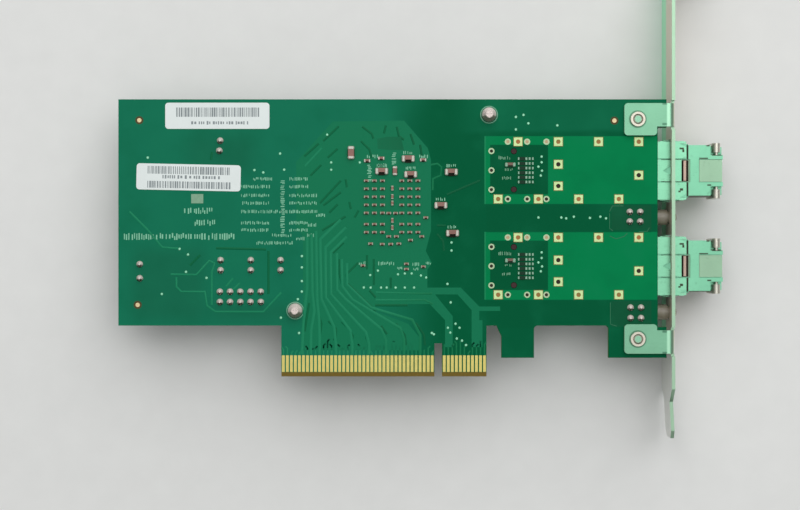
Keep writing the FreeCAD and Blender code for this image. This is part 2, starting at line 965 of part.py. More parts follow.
def host_contacts():
    """The two rows of contacts of a host connector drawn on the X axis."""
    half = module_board_thickness / 2 + plug_clearance + connector_contact_thickness
    thick = connector_contact_thickness
    near_z = plug_z + half
    far_z = plug_z - half
    beam_rear = connector_rear + connector_rear_wall + plug_end_gap
    beam_front = connector_front - connector_rear_wall
    front = connector_front
    front_row = [
        (beam_rear, near_z),
        (front, near_z),
        (front, component_z),
        (front + connector_foot, component_z),
        (front + connector_foot, component_z - thick),
        (front + thick, component_z - thick),
        (front + thick, near_z - thick),
        (beam_rear, near_z - thick),
    ]
    rear = connector_rear
    rear_row = [
        (beam_front, far_z),
        (rear - thick, far_z),
        (rear - thick, component_z - thick),
        (rear - connector_foot, component_z - thick),
        (rear - connector_foot, component_z),
        (rear, component_z),
        (rear, far_z + thick),
        (beam_front, far_z + thick),
    ]
    contacts = []
    for i in range(connector_contacts):
        y = (i - (connector_contacts - 1) / 2) * connector_contact_pitch - connector_contact_width / 2
        for outline in (front_row, rear_row):
            contacts.append(prism([(x, y, z) for x, z in outline], (0, connector_contact_width, 0)))
    return contacts


# The optical modules

def module_lower_housing():
    """The cast housing of a module drawn on the X axis: trough, nose with two ports, latch channel
    and boss."""
    half = module_width / 2
    inner = half - module_wall
    floor_z = module_skin_z - module_floor
    body = block(module_rear, nose_start, -half, half, module_far_z + cover_thickness, module_skin_z)
    nose = block(nose_start, module_nose, -module_nose_width / 2, module_nose_width / 2, nose_far_z,
        module_skin_z)
    port_end = module_nose - port_depth
    insert_rear = port_end - insert_thickness
    waste = [
        block(module_rear - 1, insert_rear, -inner, inner, module_far_z - 1, floor_z),
        block(module_rear - 1, module_rear + rear_cutaway, -inner, inner, floor_z - 1, module_skin_z + 1),
        block(insert_rear - 1, port_end, *insert_span_y(), *insert_span_z()),
        stop_groove(),
    ]
    waste += port_cavities(port_end)
    waste += latch_channel()
    waste += bail_seats()
    return join([body, nose]).cut(waste).fuse(latch_boss()).removeSplitter()


def stop_groove():
    """The groove across the skin where the module meets the front edge of its cage."""
    low = module_skin_z - stop_groove_depth
    return block(cage_front, cage_front + stop_groove_width, -module_width, module_width, low,
        module_skin_z + 1)


def insert_span_y():
    """How far the port insert reaches across the module."""
    reach = port_spacing / 2 + port_width / 2 - insert_clearance
    return -reach, reach


def insert_span_z():
    """How far the port insert reaches up and down."""
    return port_z - port_height / 2 + insert_clearance, port_z + port_height / 2 - insert_clearance


def port_cavities(port_end):
    """The two square ports with the keyway that a plug's latch enters."""
    tools = []
    for side in (-1, 1):
        y = side * port_spacing / 2
        low = port_z - port_height / 2
        tools.append(block(port_end, module_nose + 1, y - port_width / 2, y + port_width / 2, low,
            low + port_height))
        key = port_keyway_width / 2
        tools.append(block(port_end, module_nose + 1, y - key, y + key, low - port_keyway_depth, low + 1))
    return tools


def latch_channel():
    """The channel that the slider runs in, bridged by the skin just behind its finger pad."""
    half = slider_width / 2 + slider_clearance
    under = slider_under_z - slider_clearance
    roof = slider_top_z + slider_clearance
    above = module_skin_z + 1
    tail = slider_front - slider_tail_length - slider_clearance
    bridge_front = slider_front - slider_pad_length - slider_clearance
    bridge_rear = bridge_front - slider_bridge_length
    island_end = boss_front() + slider_clearance
    island = slider_fork_width / 2 - slider_clearance
    open_tail = block(tail, bridge_rear, -half, half, under, above)
    open_tail = open_tail.cut(block(tail - 1, island_end, -island, island, under - 1, above + 1))
    tunnel = block(bridge_rear - 1, bridge_front + 1, -half, half, under, roof)
    open_nose = block(bridge_front, module_nose + 1, -half, half, under, above)
    return [open_tail, tunnel, open_nose]


def latch_boss():
    """The ramped boss that the cage tongue snaps over."""
    front = boss_front()
    rear = front - boss_length
    top = module_skin_z + boss_height
    outline = [(rear, module_skin_z), (front, top), (front, module_skin_z - 0.5),
        (rear, module_skin_z - 0.5)]
    return prism([(x, -boss_width / 2, z) for x, z in outline], (0, boss_width, 0))


def bail_seats():
    """The side recesses for the bail arms, the seats for their lugs and the bores for their pins."""
    arm_inner = bail_span / 2 - bail_sheet - bail_gap
    rear = module_nose - seat_length
    pin_end = bail_span / 2 - bail_lug - bail_sheet - bail_pin_reach
    above = module_skin_z + 1
    tools = []
    for side in (-1, 1):
        arm = sorted((side * arm_inner, side * module_width))
        seat = sorted((side * seat_inner, side * module_width))
        bore = sorted((side * (pin_end - bail_gap), side * (seat_inner + bail_gap)))
        tools.append(block(rear, module_nose + 1, *arm, nose_far_z - 1, above))
        tools.append(block(rear, module_nose + 1, *seat, module_skin_z - seat_depth, above))
        tools.append(rod_y(pivot_x, pivot_z, bail_pin + 2 * bail_bore_clearance, *bore))
    return tools


def module_cover():
    """The flat cover on the far side of a module drawn on the X axis."""
    half = module_width / 2
    return block(module_rear, nose_start, -half, half, module_far_z, module_far_z + cover_thickness)


def module_board():
    """The board inside a module drawn on the X axis, narrowed to its plug."""
    rear = connector_rear + connector_rear_wall + plug_end_gap
    front = barrel_rear() - plug_end_gap
    low = plug_z - module_board_thickness / 2
    high = plug_z + module_board_thickness / 2
    plug = centred(rear + plug_length / 2, 0, plug_length, plug_width, low, high)
    wide = block(rear + plug_length, front, -module_board_width / 2, module_board_width / 2, low, high)
    return join([plug, wide])


def barrel_rear():
    """Where the optical barrels end behind the port insert."""
    return module_nose - port_depth - insert_thickness - barrel_length


def optical_barrel(side):
    """A transmitter or receiver of a module drawn on the X axis: a barrel with the sleeve that
    meets the plug."""
    y = side * port_spacing / 2
    port_end = module_nose - port_depth
    insert_rear = port_end - insert_thickness
    barrel = rod_x(y, port_z, barrel_diameter, barrel_rear(), insert_rear)
    sleeve = rod_x(y, port_z, sleeve_diameter, insert_rear, port_end + sleeve_reach)
    bore = rod_x(y, port_z, sleeve_bore, port_end, port_end + sleeve_reach + 1)
    return join([barrel, sleeve]).cut(bore)


def port_insert():
    """The moulded plate behind the ports that centres the two sleeves."""
    port_end = module_nose - port_depth
    plate = block(port_end - insert_thickness, port_end, *insert_span_y(), *insert_span_z())
    holes = []
    for side in (-1, 1):
        y = side * port_spacing / 2
        holes.append(rod_x(y, port_z, sleeve_diameter + insert_clearance, 0, module_nose))
    return plate.cut(holes)


def shield_collar():
    """The thin grounding sheet round three sides of a module drawn on the X axis."""
    half = module_width / 2
    front = cage_front - band_length
    rear = front - collar_length
    grown = half + collar_thickness
    low = module_far_z - collar_thickness
    sheet_box = block(rear, front, -grown, grown, low, module_skin_z - slider_tail_gap)
    return sheet_box.cut(block(rear - 1, front + 1, -half, half, module_far_z, module_skin_z))


def latch_slider():
    """The forked slider whose ramps lift the cage tongue, with its finger pad at the nose."""
    half = slider_width / 2
    tail = slider_front - slider_tail_length
    plate = block(tail, slider_front, -half, half, slider_under_z, slider_top_z)
    pad = block(
        slider_front - slider_pad_length, slider_front, -half, half, slider_under_z, module_skin_z - slider_recess
    )
    fork = slider_fork_width / 2
    gap = block(tail - 1, tail + slider_fork_length, -fork, fork, slider_under_z - 1, slider_top_z + 1)
    slider = join([plate, pad]).cut(gap)
    ramps = []
    rise = slider_tail_gap * 0.6
    for side in (-1, 1):
        low_y = sorted((side * fork, side * half))[0]
        outline = [(tail, slider_top_z), (tail, slider_top_z + rise), (tail + 2 * rise, slider_top_z)]
        ramps.append(prism([(x, low_y, z) for x, z in outline], (0, half - fork, 0)))
    return join([slider] + ramps)


def bail():
    """The stamped bail of a module drawn on the X axis: a strip folded round the nose, with lugs
    and pins."""
    half = bail_span / 2
    low = pivot_z - bail_swing - bail_sheet
    rear = pivot_x - bail_width / 2
    front = pivot_x + bail_width / 2
    outer = rounded(block(rear, front, -half, half, low, pivot_z), bail_corner, Vector(1, 0, 0),
        lower_half(low))
    inner_half = half - bail_sheet
    inner = block(rear - 1, front + 1, -inner_half, inner_half, low + bail_sheet, pivot_z + 1)
    inner = rounded(inner, bail_corner - bail_sheet, Vector(1, 0, 0), lower_half(low))
    pieces = [outer.cut(inner)]
    for side in (-1, 1):
        lug = sorted((side * (inner_half - bail_lug), side * half))
        pin = sorted((side * (inner_half - bail_lug - bail_pin_reach), side * inner_half))
        pieces.append(rod_y(pivot_x, pivot_z, bail_width, *lug))
        pieces.append(rod_y(pivot_x, pivot_z, bail_pin, *pin))
    return join(pieces)


def lower_half(low):
    """A region that holds only the edges near the crossbar of the bail."""
    return FreeCAD.BoundBox(0, -module_width, low - 1, 2 * module_nose, module_width,
        low + 2 * bail_sheet)


# Indicators, header, capacitors and the other parts of the component side

def indicator_housing(y):
    """The moulded holder that lies on the board and carries two stacked lamps."""
    low = component_z - indicator_height
    body = block(indicator_rear, indicator_front, y - indicator_width / 2, y + indicator_width / 2, low,
        component_z)
    notch = prism(
        [
            (indicator_rear, y - indicator_width, low),
            (indicator_rear + indicator_notch, y - indicator_width, low),
            (indicator_rear, y - indicator_width, low + indicator_notch),
        ],
        (0, 2 * indicator_width, 0),
    )
    return body.cut(notch)


def indicator_lamps(y):
    """The two lamps of an indicator, flanged at the rear and round-nosed, reaching through the
    bracket."""
    tip = bracket_outer + lamp_reach
    radius = lamp_diameter / 2
    flange = lamp_flange_diameter / 2
    flange_end = indicator_front + lamp_flange_length
    outline = [
        (indicator_front, 0),
        (indicator_front, flange),
        (flange_end, flange),
        (flange_end, radius),
        (tip - radius, radius),
        (tip - radius / 2, radius * math.cos(math.radians(30))),
        (tip - radius * (1 - math.cos(math.radians(30))), radius / 2),
        (tip, 0),
    ]
    corners = [Vector(x, height, 0) for x, height in outline]
    face = Part.Face(Part.makePolygon(corners + corners[:1]))
    lamp = face.revolve(Vector(0, 0, 0), Vector(1, 0, 0), 360)
    lamp_z = [component_z - lamp_first - i * lamp_spacing for i in range(lamp_count)]
    return [lamp.translated(Vector(0, y, z)) for z in lamp_z]


def header_pins():
    """The square pins of the header, from the board down."""
    pins = []
    for i in range(header_columns):
        for j in range(header_rows):
            x = header_x + (i - (header_columns - 1) / 2) * header_pitch
            y = header_y + (j - (header_rows - 1) / 2) * header_pitch
            pins.append(centred(x, y, header_pin, header_pin, component_z - header_pin_length,
                component_z))
    return pins


def header_housing(pins):
    """The strip that holds the header pins, notched between the columns."""
    length = header_columns * header_pitch
    width = header_rows * header_pitch
    low = component_z - header_base
    body = centred(header_x, header_y, length, width, low, component_z)
    notches = []
    for i in range(header_columns + 1):
        x = header_x + (i - header_columns / 2) * header_pitch
        for side in (-1, 1):
            y = header_y + side * width / 2
            notch = centred(0, 0, header_corner * 2, header_corner * 2, low - 1, component_z + 1)
            notch.Placement = Placement(Vector(x, y, 0), Rotation(Vector(0, 0, 1), 45))
            notches.append(notch)
    return body.cut(notches + pins)


def can_places():
    """Place, diameter and height of each radial capacitor."""
    places = []
    for i in range(can_row_count):
        places.append((can_row_x + i * can_row_pitch, can_row_y, small_can_diameter, small_can_height))
    top_y = board_height - top_can_from_edge
    places.append((can_row_x, top_y, small_can_diameter, small_can_height))
    places.append((edge_can_x, edge_can_y, large_can_diameter, large_can_height))
    return places


def capacitor_cans():
    """The aluminium cans, crimped round their bungs."""
    cans = []
    for x, y, diameter, height in can_places():
        radius = diameter / 2
        mouth = component_z - bung_height
        profile = [
            (0, mouth),
            (radius, mouth),
            (radius, mouth - 2 * can_groove),
            (radius - can_groove, mouth - 3 * can_groove),
            (radius, mouth - 4 * can_groove),
            (radius, component_z - height + can_groove),
            (radius - can_groove, component_z - height),
            (0, component_z - height),
        ]
        cans.append(turned(profile, x, y))
    return cans


def capacitor_bungs():
    """The rubber bungs between the cans and the board."""
    bungs = []
    for x, y, diameter, _ in can_places():
        bungs.append(post(x, y, diameter - 4 * can_groove, component_z - bung_height, component_z))
    return bungs


def flash_memory():
    """An eight-lead memory package with its leads bent down to the board."""
    body_low = component_z - flash_height
    body = centred(flash_x, flash_y, flash_length, flash_width, body_low, component_z - flash_standoff)
    edge = flash_width / 2
    toe = edge + flash_lead_reach
    bend = edge + flash_lead_reach / 2
    middle_z = component_z - flash_height / 2
    outline = [
        (0, middle_z),
        (bend, middle_z),
        (bend, component_z - flash_lead_thickness),
        (toe, component_z - flash_lead_thickness),
        (toe, component_z),
        (bend - flash_lead_thickness, component_z),
        (bend - flash_lead_thickness, middle_z + flash_lead_thickness),
        (0, middle_z + flash_lead_thickness),
    ]
    leads = []
    for i in range(flash_leads_a_side):
        x = flash_x + (i - (flash_leads_a_side - 1) / 2) * flash_lead_pitch - flash_lead_width / 2
        for side in (-1, 1):
            corners = [(x, flash_y + side * y, z) for y, z in outline]
            leads.append(prism(corners, (flash_lead_width, 0, 0)))
    return join([body] + leads)


def crystal():
    """A metal-lidded crystal package."""
    y = board_height - crystal_from_edge
    step_z = component_z - crystal_base_height
    lid_length = crystal_length - 2 * crystal_rim
    lid_width = crystal_width - 2 * crystal_rim
    rim = centred(crystal_x, y, crystal_length, crystal_width, step_z, component_z)
    lid = centred(crystal_x, y, lid_length, lid_width, component_z - crystal_height, step_z)
    return join([rim, lid])


def power_inductors():
    """Moulded power inductors with clipped corners."""
    inductors = []
    for i in range(inductor_count):
        body = centred(
            inductor_x,
            inductor_y - i * inductor_pitch,
            inductor_size,
            inductor_size,
            component_z - inductor_height,
            component_z,
        )
        inductors.append(body.makeChamfer(inductor_corner, edges_along(body, Vector(0, 0, 1))))
    return inductors


def regulators():
    """The flat regulator packages beside the inductors."""
    x = inductor_x + regulator_pitch
    places = [(x, inductor_y - i * inductor_pitch) for i in range(inductor_count)]
    return [
        centred(x, y, regulator_size, regulator_size, component_z - regulator_height, component_z)
        for x, y in places
    ]


# Chip capacitors and labels of the solder side

def chip(x, y, turn, length, width, height):
    """A ceramic chip with its two metal ends standing slightly proud."""
    end = chip_end * length / chip_length
    proud = chip_end_proud
    body = centred(0, 0, length - end, width - 2 * proud, solder_z, solder_z + height - proud)
    ends = [
        centred(side * (length - end) / 2, 0, end, width, solder_z, solder_z + height)
        for side in (-1, 1)
    ]
    whole = join([body] + ends)
    whole.Placement = Placement(Vector(x, y, 0), Rotation(Vector(0, 0, 1), turn))
    return whole


def chip_capacitors():
    """The larger chips round the controller on the solder side: grid steps from its centre, turn
    and size."""
    large = (chip_length, chip_width, chip_height)
    medium = (medium_chip_length, medium_chip_width, medium_chip_height)
    small = (small_chip_length, small_chip_width, small_chip_height)
    places = (
        (-102, 149, 90, large),
        (-26, 103, 0, large),
        (40, 134, 0, large),
        (46, 95, 0, large),
        (7, 104, 90, medium),
        (147, 101, 0, large),
        (121, 18, 0, large),
        (150, -51, 0, large),
        (-27, 135, 0, small),
        (-62, 129, 0, small),
        (77, 131, 0, small),
    )
    chips = []
    for right, up, turn, size in places:
        x = controller_x + right * placement_grid
        y = controller_y + up * placement_grid
        chips.append(chip(x, y, turn, *size))
    return chips


def decouplers():
    """The grid of small decoupling chips behind the controller."""
    rows = [decoupler_top_row - i * decoupler_pitch for i in range(decoupler_top_row_count)]
    low_row = decoupler_top_row - decoupler_low_drop
    rows += [low_row - i * decoupler_pitch for i in range(decoupler_low_row_count)]
    top = solder_z + decoupler_height
    chips = []
    for row in rows:
        y = decoupler_centre_y + row
        for i in range(decoupler_column_count):
            offset = decoupler_first_column + i * decoupler_pitch
            for side in (-1, 1):
                x = controller_x + side * offset
                chips.append(centred(x, y, decoupler_length, decoupler_width, solder_z, top))
    return chips


def label(x, y, turn):
    """A paper label with round corners, lying on the solder side."""
    plate = rounded_plate(0, 0, label_length, label_height, solder_z, solder_z + label_thickness,
        label_corner)
    plate.Placement = Placement(Vector(x, y, 0), Rotation(Vector(0, 0, 1), turn))
    return plate


def write(name, shapes):
    """One node of the product: a solid, or a group of separate solids."""
    group = shapes if isinstance(shapes, list) else [shapes]
    solids = [solid for shape in group for solid in shape.Solids]
    shape = solids[0] if len(solids) == 1 else Part.makeCompound(solids)
    shape.exportStep(os.path.join("parts", name + ".step"))


def write_board_parts():
    """The board with what is fixed to it."""
    pins = header_pins()
    write("circuit_board", circuit_board())
    write("edge_contacts_solder_side", edge_contacts(1))
    write("edge_contacts_component_side", edge_contacts(-1))
    write("bracket", bracket())
    write("bracket_screws", bracket_screws())
    write("controller_chip", controller_chip())
    write("thermal_pad", thermal_pad())
    write("heat_sink", heat_sink())
    write("push_pins", push_pin_shapes())
    write("push_pin_springs", push_pin_springs())
    write("header_housing", header_housing(pins))
    write("header_pins", pins)
    write("capacitor_cans", capacitor_cans())
    write("capacitor_bungs", capacitor_bungs())
    write("flash_memory", flash_memory())
    write("crystal", crystal())
    write("power_inductors", power_inductors())
    write("regulators", regulators())
    write("chip_capacitors", chip_capacitors())
    write("decoupling_chips", decouplers())
    write("label_upper", label(label_1_x, board_height - label_1_from_edge, 0))
    write("label_lower", label(label_2_x, label_2_y, label_2_turn))
    for name, y in (("upper", indicator_upper), ("lower", indicator_lower)):
        write("indicator_housing_" + name, indicator_housing(y))
        write("indicator_lamps_" + name, indicator_lamps(y))


def write_port_parts():
    """The two cages with their connectors and modules."""
    shapes = {
        "cage": cage(),
        "ground_fingers": ground_fingers(),
        "host_connector": host_connector(),
        "host_contacts": host_contacts(),
        "module_housing": module_lower_housing(),
        "module_cover": module_cover(),
        "module_board": module_board(),
        "module_transmitter": optical_barrel(-1),
        "module_receiver": optical_barrel(1),
        "module_port_insert": port_insert(),
        "module_collar": shield_collar(),
        "latch_slider": latch_slider(),
        "bail": bail(),
    }
    for port, y in (("upper", cage_centres[0]), ("lower", cage_centres[1])):
        for name, shape in shapes.items():
            group = shape if isinstance(shape, list) else [shape]
            write(name + "_" + port, [piece.translated(Vector(0, y, 0)) for piece in group])


os.makedirs("parts", exist_ok=True)
write_board_parts()
write_port_parts()
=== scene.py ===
"""Looks for a dual-port network interface card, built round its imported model."""

import math
import random
from functools import cached_property

import bmesh
import bpy
from mathutils import Matrix, Vector


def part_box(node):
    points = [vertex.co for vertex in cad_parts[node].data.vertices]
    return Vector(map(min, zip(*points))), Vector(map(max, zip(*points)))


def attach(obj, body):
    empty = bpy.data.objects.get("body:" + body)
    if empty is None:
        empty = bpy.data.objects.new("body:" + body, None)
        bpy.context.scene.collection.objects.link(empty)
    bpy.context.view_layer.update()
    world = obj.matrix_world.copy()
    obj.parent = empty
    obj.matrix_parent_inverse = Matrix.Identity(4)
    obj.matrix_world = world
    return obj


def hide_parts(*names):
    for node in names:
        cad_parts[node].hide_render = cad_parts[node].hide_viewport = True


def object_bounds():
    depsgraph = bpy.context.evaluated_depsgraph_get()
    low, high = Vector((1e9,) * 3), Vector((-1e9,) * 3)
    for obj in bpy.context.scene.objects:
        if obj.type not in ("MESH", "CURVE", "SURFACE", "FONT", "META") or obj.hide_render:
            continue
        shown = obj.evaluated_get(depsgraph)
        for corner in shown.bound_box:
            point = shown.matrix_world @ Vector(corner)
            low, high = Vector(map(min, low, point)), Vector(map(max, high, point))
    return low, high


bl_info = {
    "name": "Network Interface Card Dresser",
    "version": (1, 0, 0),
    "blender": (4, 5, 0),
    "location": "View3D > Sidebar > Card",
    "description": "Gives a two-port interface card its finishes, copper, print, solder and studio",
    "category": "Object",
}

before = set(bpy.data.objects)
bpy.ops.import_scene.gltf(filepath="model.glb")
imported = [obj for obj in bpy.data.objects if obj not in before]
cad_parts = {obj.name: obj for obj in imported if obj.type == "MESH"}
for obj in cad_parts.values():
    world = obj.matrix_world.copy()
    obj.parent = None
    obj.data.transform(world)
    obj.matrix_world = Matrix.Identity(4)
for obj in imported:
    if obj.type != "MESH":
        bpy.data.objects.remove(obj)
cad_box = [list(corner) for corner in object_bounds()]
MM = 0.001


def linear(red, green, blue):
    """A display colour, given as three bytes, as the linear values that shaders take."""
    channels = [value / 255 for value in (red, green, blue)]
    return tuple(v / 12.92 if v <= 0.04045 else ((v + 0.055) / 1.055) ** 2.4 for v in channels)


def span(node):
    """The lowest and highest corner of a CAD node, in millimetres."""
    low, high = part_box(node)
    return Vector(low) / MM, Vector(high) / MM


def middle(node):
    """The centre of a CAD node, in millimetres."""
    low, high = span(node)
    return (low + high) / 2


def length(name, description, millimetres):
    """A length property with a default in millimetres."""
    default = millimetres * MM
    return bpy.props.FloatProperty(name=name, description=description, default=default, unit="LENGTH")


def number(name, description, default):
    """A plain number property."""
    return bpy.props.FloatProperty(name=name, description=description, default=default)


def colour(name, description, red, green, blue):
    """A colour property with a default given as display bytes."""
    tint = linear(red, green, blue)
    return bpy.props.FloatVectorProperty(
        name=name, description=description, default=tint, subtype="COLOR", size=3, min=0, max=1
    )


class CardColours(bpy.types.PropertyGroup):
    """Colours of the board, its metals and its small parts."""

    mask_left: colour("Mask, plain end", "Solder mask over the end away from the ports", 22, 115, 85)
    mask_middle: colour("Mask, middle", "Solder mask behind the controller", 10, 117, 79)
    mask_right: colour("Mask, port end", "Solder mask round the cages", 3, 91, 57)
    mask_cage: colour("Mask, cage field", "Solder mask over the ground field of a cage", 3, 128, 75)
    mask_dark: colour("Mask, bare laminate", "Solder mask where no copper lies under it", 3, 87, 53)
    mask_track: colour("Mask, tracks", "Solder mask over a track", 28, 131, 92)
    mask_gap: colour("Mask, gaps", "Solder mask in the gaps beside the tracks", 3, 98, 61)
    laminate: colour("Laminate", "Cut edge of the laminate", 120, 124, 70)
    legend: colour("Legend", "Printed marks of the board", 136, 204, 170)
    gold: colour("Gold pads", "Plated pads that are left bare", 200, 226, 158)
    contact: colour("Edge contacts", "Gold of the edge contacts", 208, 195, 110)
    bevel: colour("Contact bevel", "Bare laminate of the bevelled contact edge", 128, 108, 52)
    # The mint of the plating, cages, castings and sliders is a painted green reflection laid over their pale
    # metal.
    plated: colour("Bracket plating", "Plated steel of the bracket", 119, 173, 142)
    cage: colour("Cage plating", "Plated sheet of the cages and their fingers", 130, 197, 161)
    casting: colour("Module casting", "Plated casting of the modules", 124, 193, 158)
    slider: colour("Slider", "Plated strip of the latch sliders", 141, 176, 148)
    chip: colour("Chip bodies", "Ceramic of the chip capacitors", 142, 104, 94)
    paper: colour("Label paper", "Paper of the labels", 230, 238, 236)
    ink: colour("Label ink", "Bars and marks of the labels", 142, 152, 154)
    floor: colour("Floor", "Pale floor of the studio", 229, 230, 228)


class CardSizes(bpy.types.PropertyGroup):
    """Sizes of the copper, print and solder that lie on the board."""

    print_height: length("Print height", "Thickness of printed marks", 0.015)
    copper_height: length("Track height", "How far a track stands out of the board", 0.03)
    track_width: length("Track width", "Width of one pair of tracks", 0.72)
    pad_side: length("Pad side", "Side of the square pads of the cage pins", 2.1)
    ring_diameter: length("Ring diameter", "Outer diameter of the round pads of the rear pins", 1.55)
    via_diameter: length("Via diameter", "Diameter of an open via pad", 0.66)
    joint_diameter: length("Joint diameter", "Diameter of a soldered joint", 1.7)
    joint_height: length("Joint height", "Height of a soldered joint", 0.75)


class StudioSettings(bpy.types.PropertyGroup):
    """Camera and light of the studio."""

    camera_height: length("Camera height", "Height of the camera over the solder side", 480.0)
    camera_x: length("Camera X", "Where the camera stands along the board", -9.5)
    camera_y: length("Camera Y", "Where the camera stands up the board", 30.2)
    focal_length: number("Focal length", "Lens in millimetres", 86.9)
    sky: number("Sky", "Strength of the even light", 0.285)
    lamp: number("Lamp", "Power of the large side lamp, in watts", 17.0)
    overhead: number("Overhead lamp", "Power of the lamp above, in watts", 3.6)


class Signal:
    """A shader socket that takes part in Python expressions."""

    def __init__(self, finish, socket):
        self.finish = finish
        self.socket = socket

    def math(self, operation, *others):
        inputs = dict(enumerate((self, *others)))
        return self.finish.node("ShaderNodeMath", {"operation": operation}, inputs)

    def __add__(self, other):
        return self.math("ADD", other)

    __radd__ = __add__

    def __sub__(self, other):
        return self.math("SUBTRACT", other)

    def __rsub__(self, other):
        return self.finish.node("ShaderNodeMath", {"operation": "SUBTRACT"}, {0: other, 1: self})

    def __mul__(self, other):
        return self.math("MULTIPLY", other)

    __rmul__ = __mul__

    def __abs__(self):
        return self.math("ABSOLUTE")


class Finish:
    """A material in the making: its nodes, its coordinates and its shader."""

    def __init__(self, name, **constants):
        self.material = bpy.data.materials.new(name)
        self.material.use_nodes = True
        self.tree = self.material.node_tree
        self.tree.nodes.clear()
        self.shader = self.tree.nodes.new("ShaderNodeBsdfPrincipled")
        surface = self.tree.nodes.new("ShaderNodeOutputMaterial")
        self.tree.links.new(self.shader.outputs[0], surface.inputs["Surface"])
        for socket, value in constants.items():
            self.shader.inputs[socket.replace("_", " ")].default_value = value
        self.place = self.node("ShaderNodeTexCoord", output="Object")

    def node(self, kind, settings=None, inputs=None, output=0):
        """Adds one node of any kind and gives back one of its outputs."""
        made = self.tree.nodes.new(kind)
        for name, value in (settings or {}).items():
            setattr(made, name, value)
        for socket, value in (inputs or {}).items():
            self.feed(made.inputs[socket], value)
        return Signal(self, made.outputs[output])

    def feed(self, socket, value):
        """Links a signal to a socket, or sets a plain value on it."""
        if isinstance(value, Signal):
            self.tree.links.new(value.socket, socket)
        elif socket.type == "RGBA":
            socket.default_value = tuple(value) + (1.0,)
        else:
            socket.default_value = value

    def surface(self, **signals):
        """Feeds the shader's varying sockets and gives back the finished material."""
        for socket, value in signals.items():
            self.feed(self.shader.inputs[socket.replace("_", " ")], value)
        return self.material

    @cached_property
    def axes(self):
        """The three object coordinates, in millimetres."""
        inputs = {0: self.place, "Scale": 1 / MM}
        scaled = self.node("ShaderNodeVectorMath", {"operation": "SCALE"}, inputs)
        return [self.node("ShaderNodeSeparateXYZ", inputs={0: scaled}, output=i) for i in range(3)]

    def facing(self, axis):
        """How far the surface faces along one object axis, from -1 to 1."""
        normal = self.node("ShaderNodeTexCoord", output="Normal")
        return self.node("ShaderNodeSeparateXYZ", inputs={0: normal}, output=axis)

    def value(self, constant):
        """A plain number as a signal."""
        return self.node("ShaderNodeMath", {"operation": "ADD"}, {0: constant, 1: 0.0})

    def stretched(self, x, y, z):
        """Object coordinates scaled along each axis, for grain that runs one way."""
        return self.node("ShaderNodeMapping", inputs={"Vector": self.place, "Scale": (x, y, z)})

    def noise(self, size, detail=2.0, vector=None):
        """Cloudy noise whose features are about so many millimetres wide."""
        inputs = {"Vector": vector or self.place, "Scale": 1 / (size * MM), "Detail": detail}
        return self.node("ShaderNodeTexNoise", inputs=inputs)

    def step(self, value, edge, soft):
        """A soft step from 0 below an edge to 1 above it."""
        inputs = {"Value": value, "From Min": edge - soft, "From Max": edge + soft}
        return self.node("ShaderNodeMapRange", {"interpolation_type": "SMOOTHSTEP"}, inputs)

    def band(self, value, low, high, soft):
        """A soft band that is 1 between two edges."""
        return self.step(value, low, soft) * (1 - self.step(value, high, soft))

    def field(self, corners, soft):
        """A soft rectangle, given as its left, right, lower and upper edge in millimetres."""
        x, y = self.axes[:2]
        left, right, lower, upper = corners
        return self.band(x, left, right, soft) * self.band(y, lower, upper, soft)

    def fields(self, rows):
        """The sum of soft rectangles, each row giving its four edges and its softness."""
        return sum((self.field(corners, soft) for *corners, soft in rows), self.value(0))

    def mix(self, factor, first, second):
        """One colour laid over another by a factor."""
        inputs = {0: factor, 6: first, 7: second}
        return self.node("ShaderNodeMix", {"data_type": "RGBA"}, inputs, output=2)

    def shade(self, signal, low, high, tint):
        """A colour made darker and lighter by a signal from 0 to 1."""
        dark = tuple(channel * low for channel in tint)
        light = tuple(min(channel * high, 1.0) for channel in tint)
        return self.mix(signal, dark, light)

    def skin(self, base, rough, height, strength, distance):
        """The usual ending: colour, roughness and a fine relief, so many millimetres deep."""
        inputs = {"Strength": strength, "Distance": distance * MM, "Height": height}
        normal = self.node("ShaderNodeBump", inputs=inputs)
        return self.surface(Base_Color=base, Roughness=rough, Normal=normal)


def colours():
    return bpy.context.scene.card_colours


def sizes():
    return bpy.context.scene.card_sizes


def port_lines():
    """The middle line of the upper and of the lower port, in millimetres."""
    return [middle("host_connector_" + port).y for port in PORTS]


def cage_fields(finish, corners, soft):
    """Soft rectangles placed the same way at both cages, given from each cage's middle line."""
    left, right, lower, upper = corners
    rows = [(left, right, line + lower, line + upper) for line in port_lines()]
    return finish.field(rows[0], soft) + finish.field(rows[1], soft)


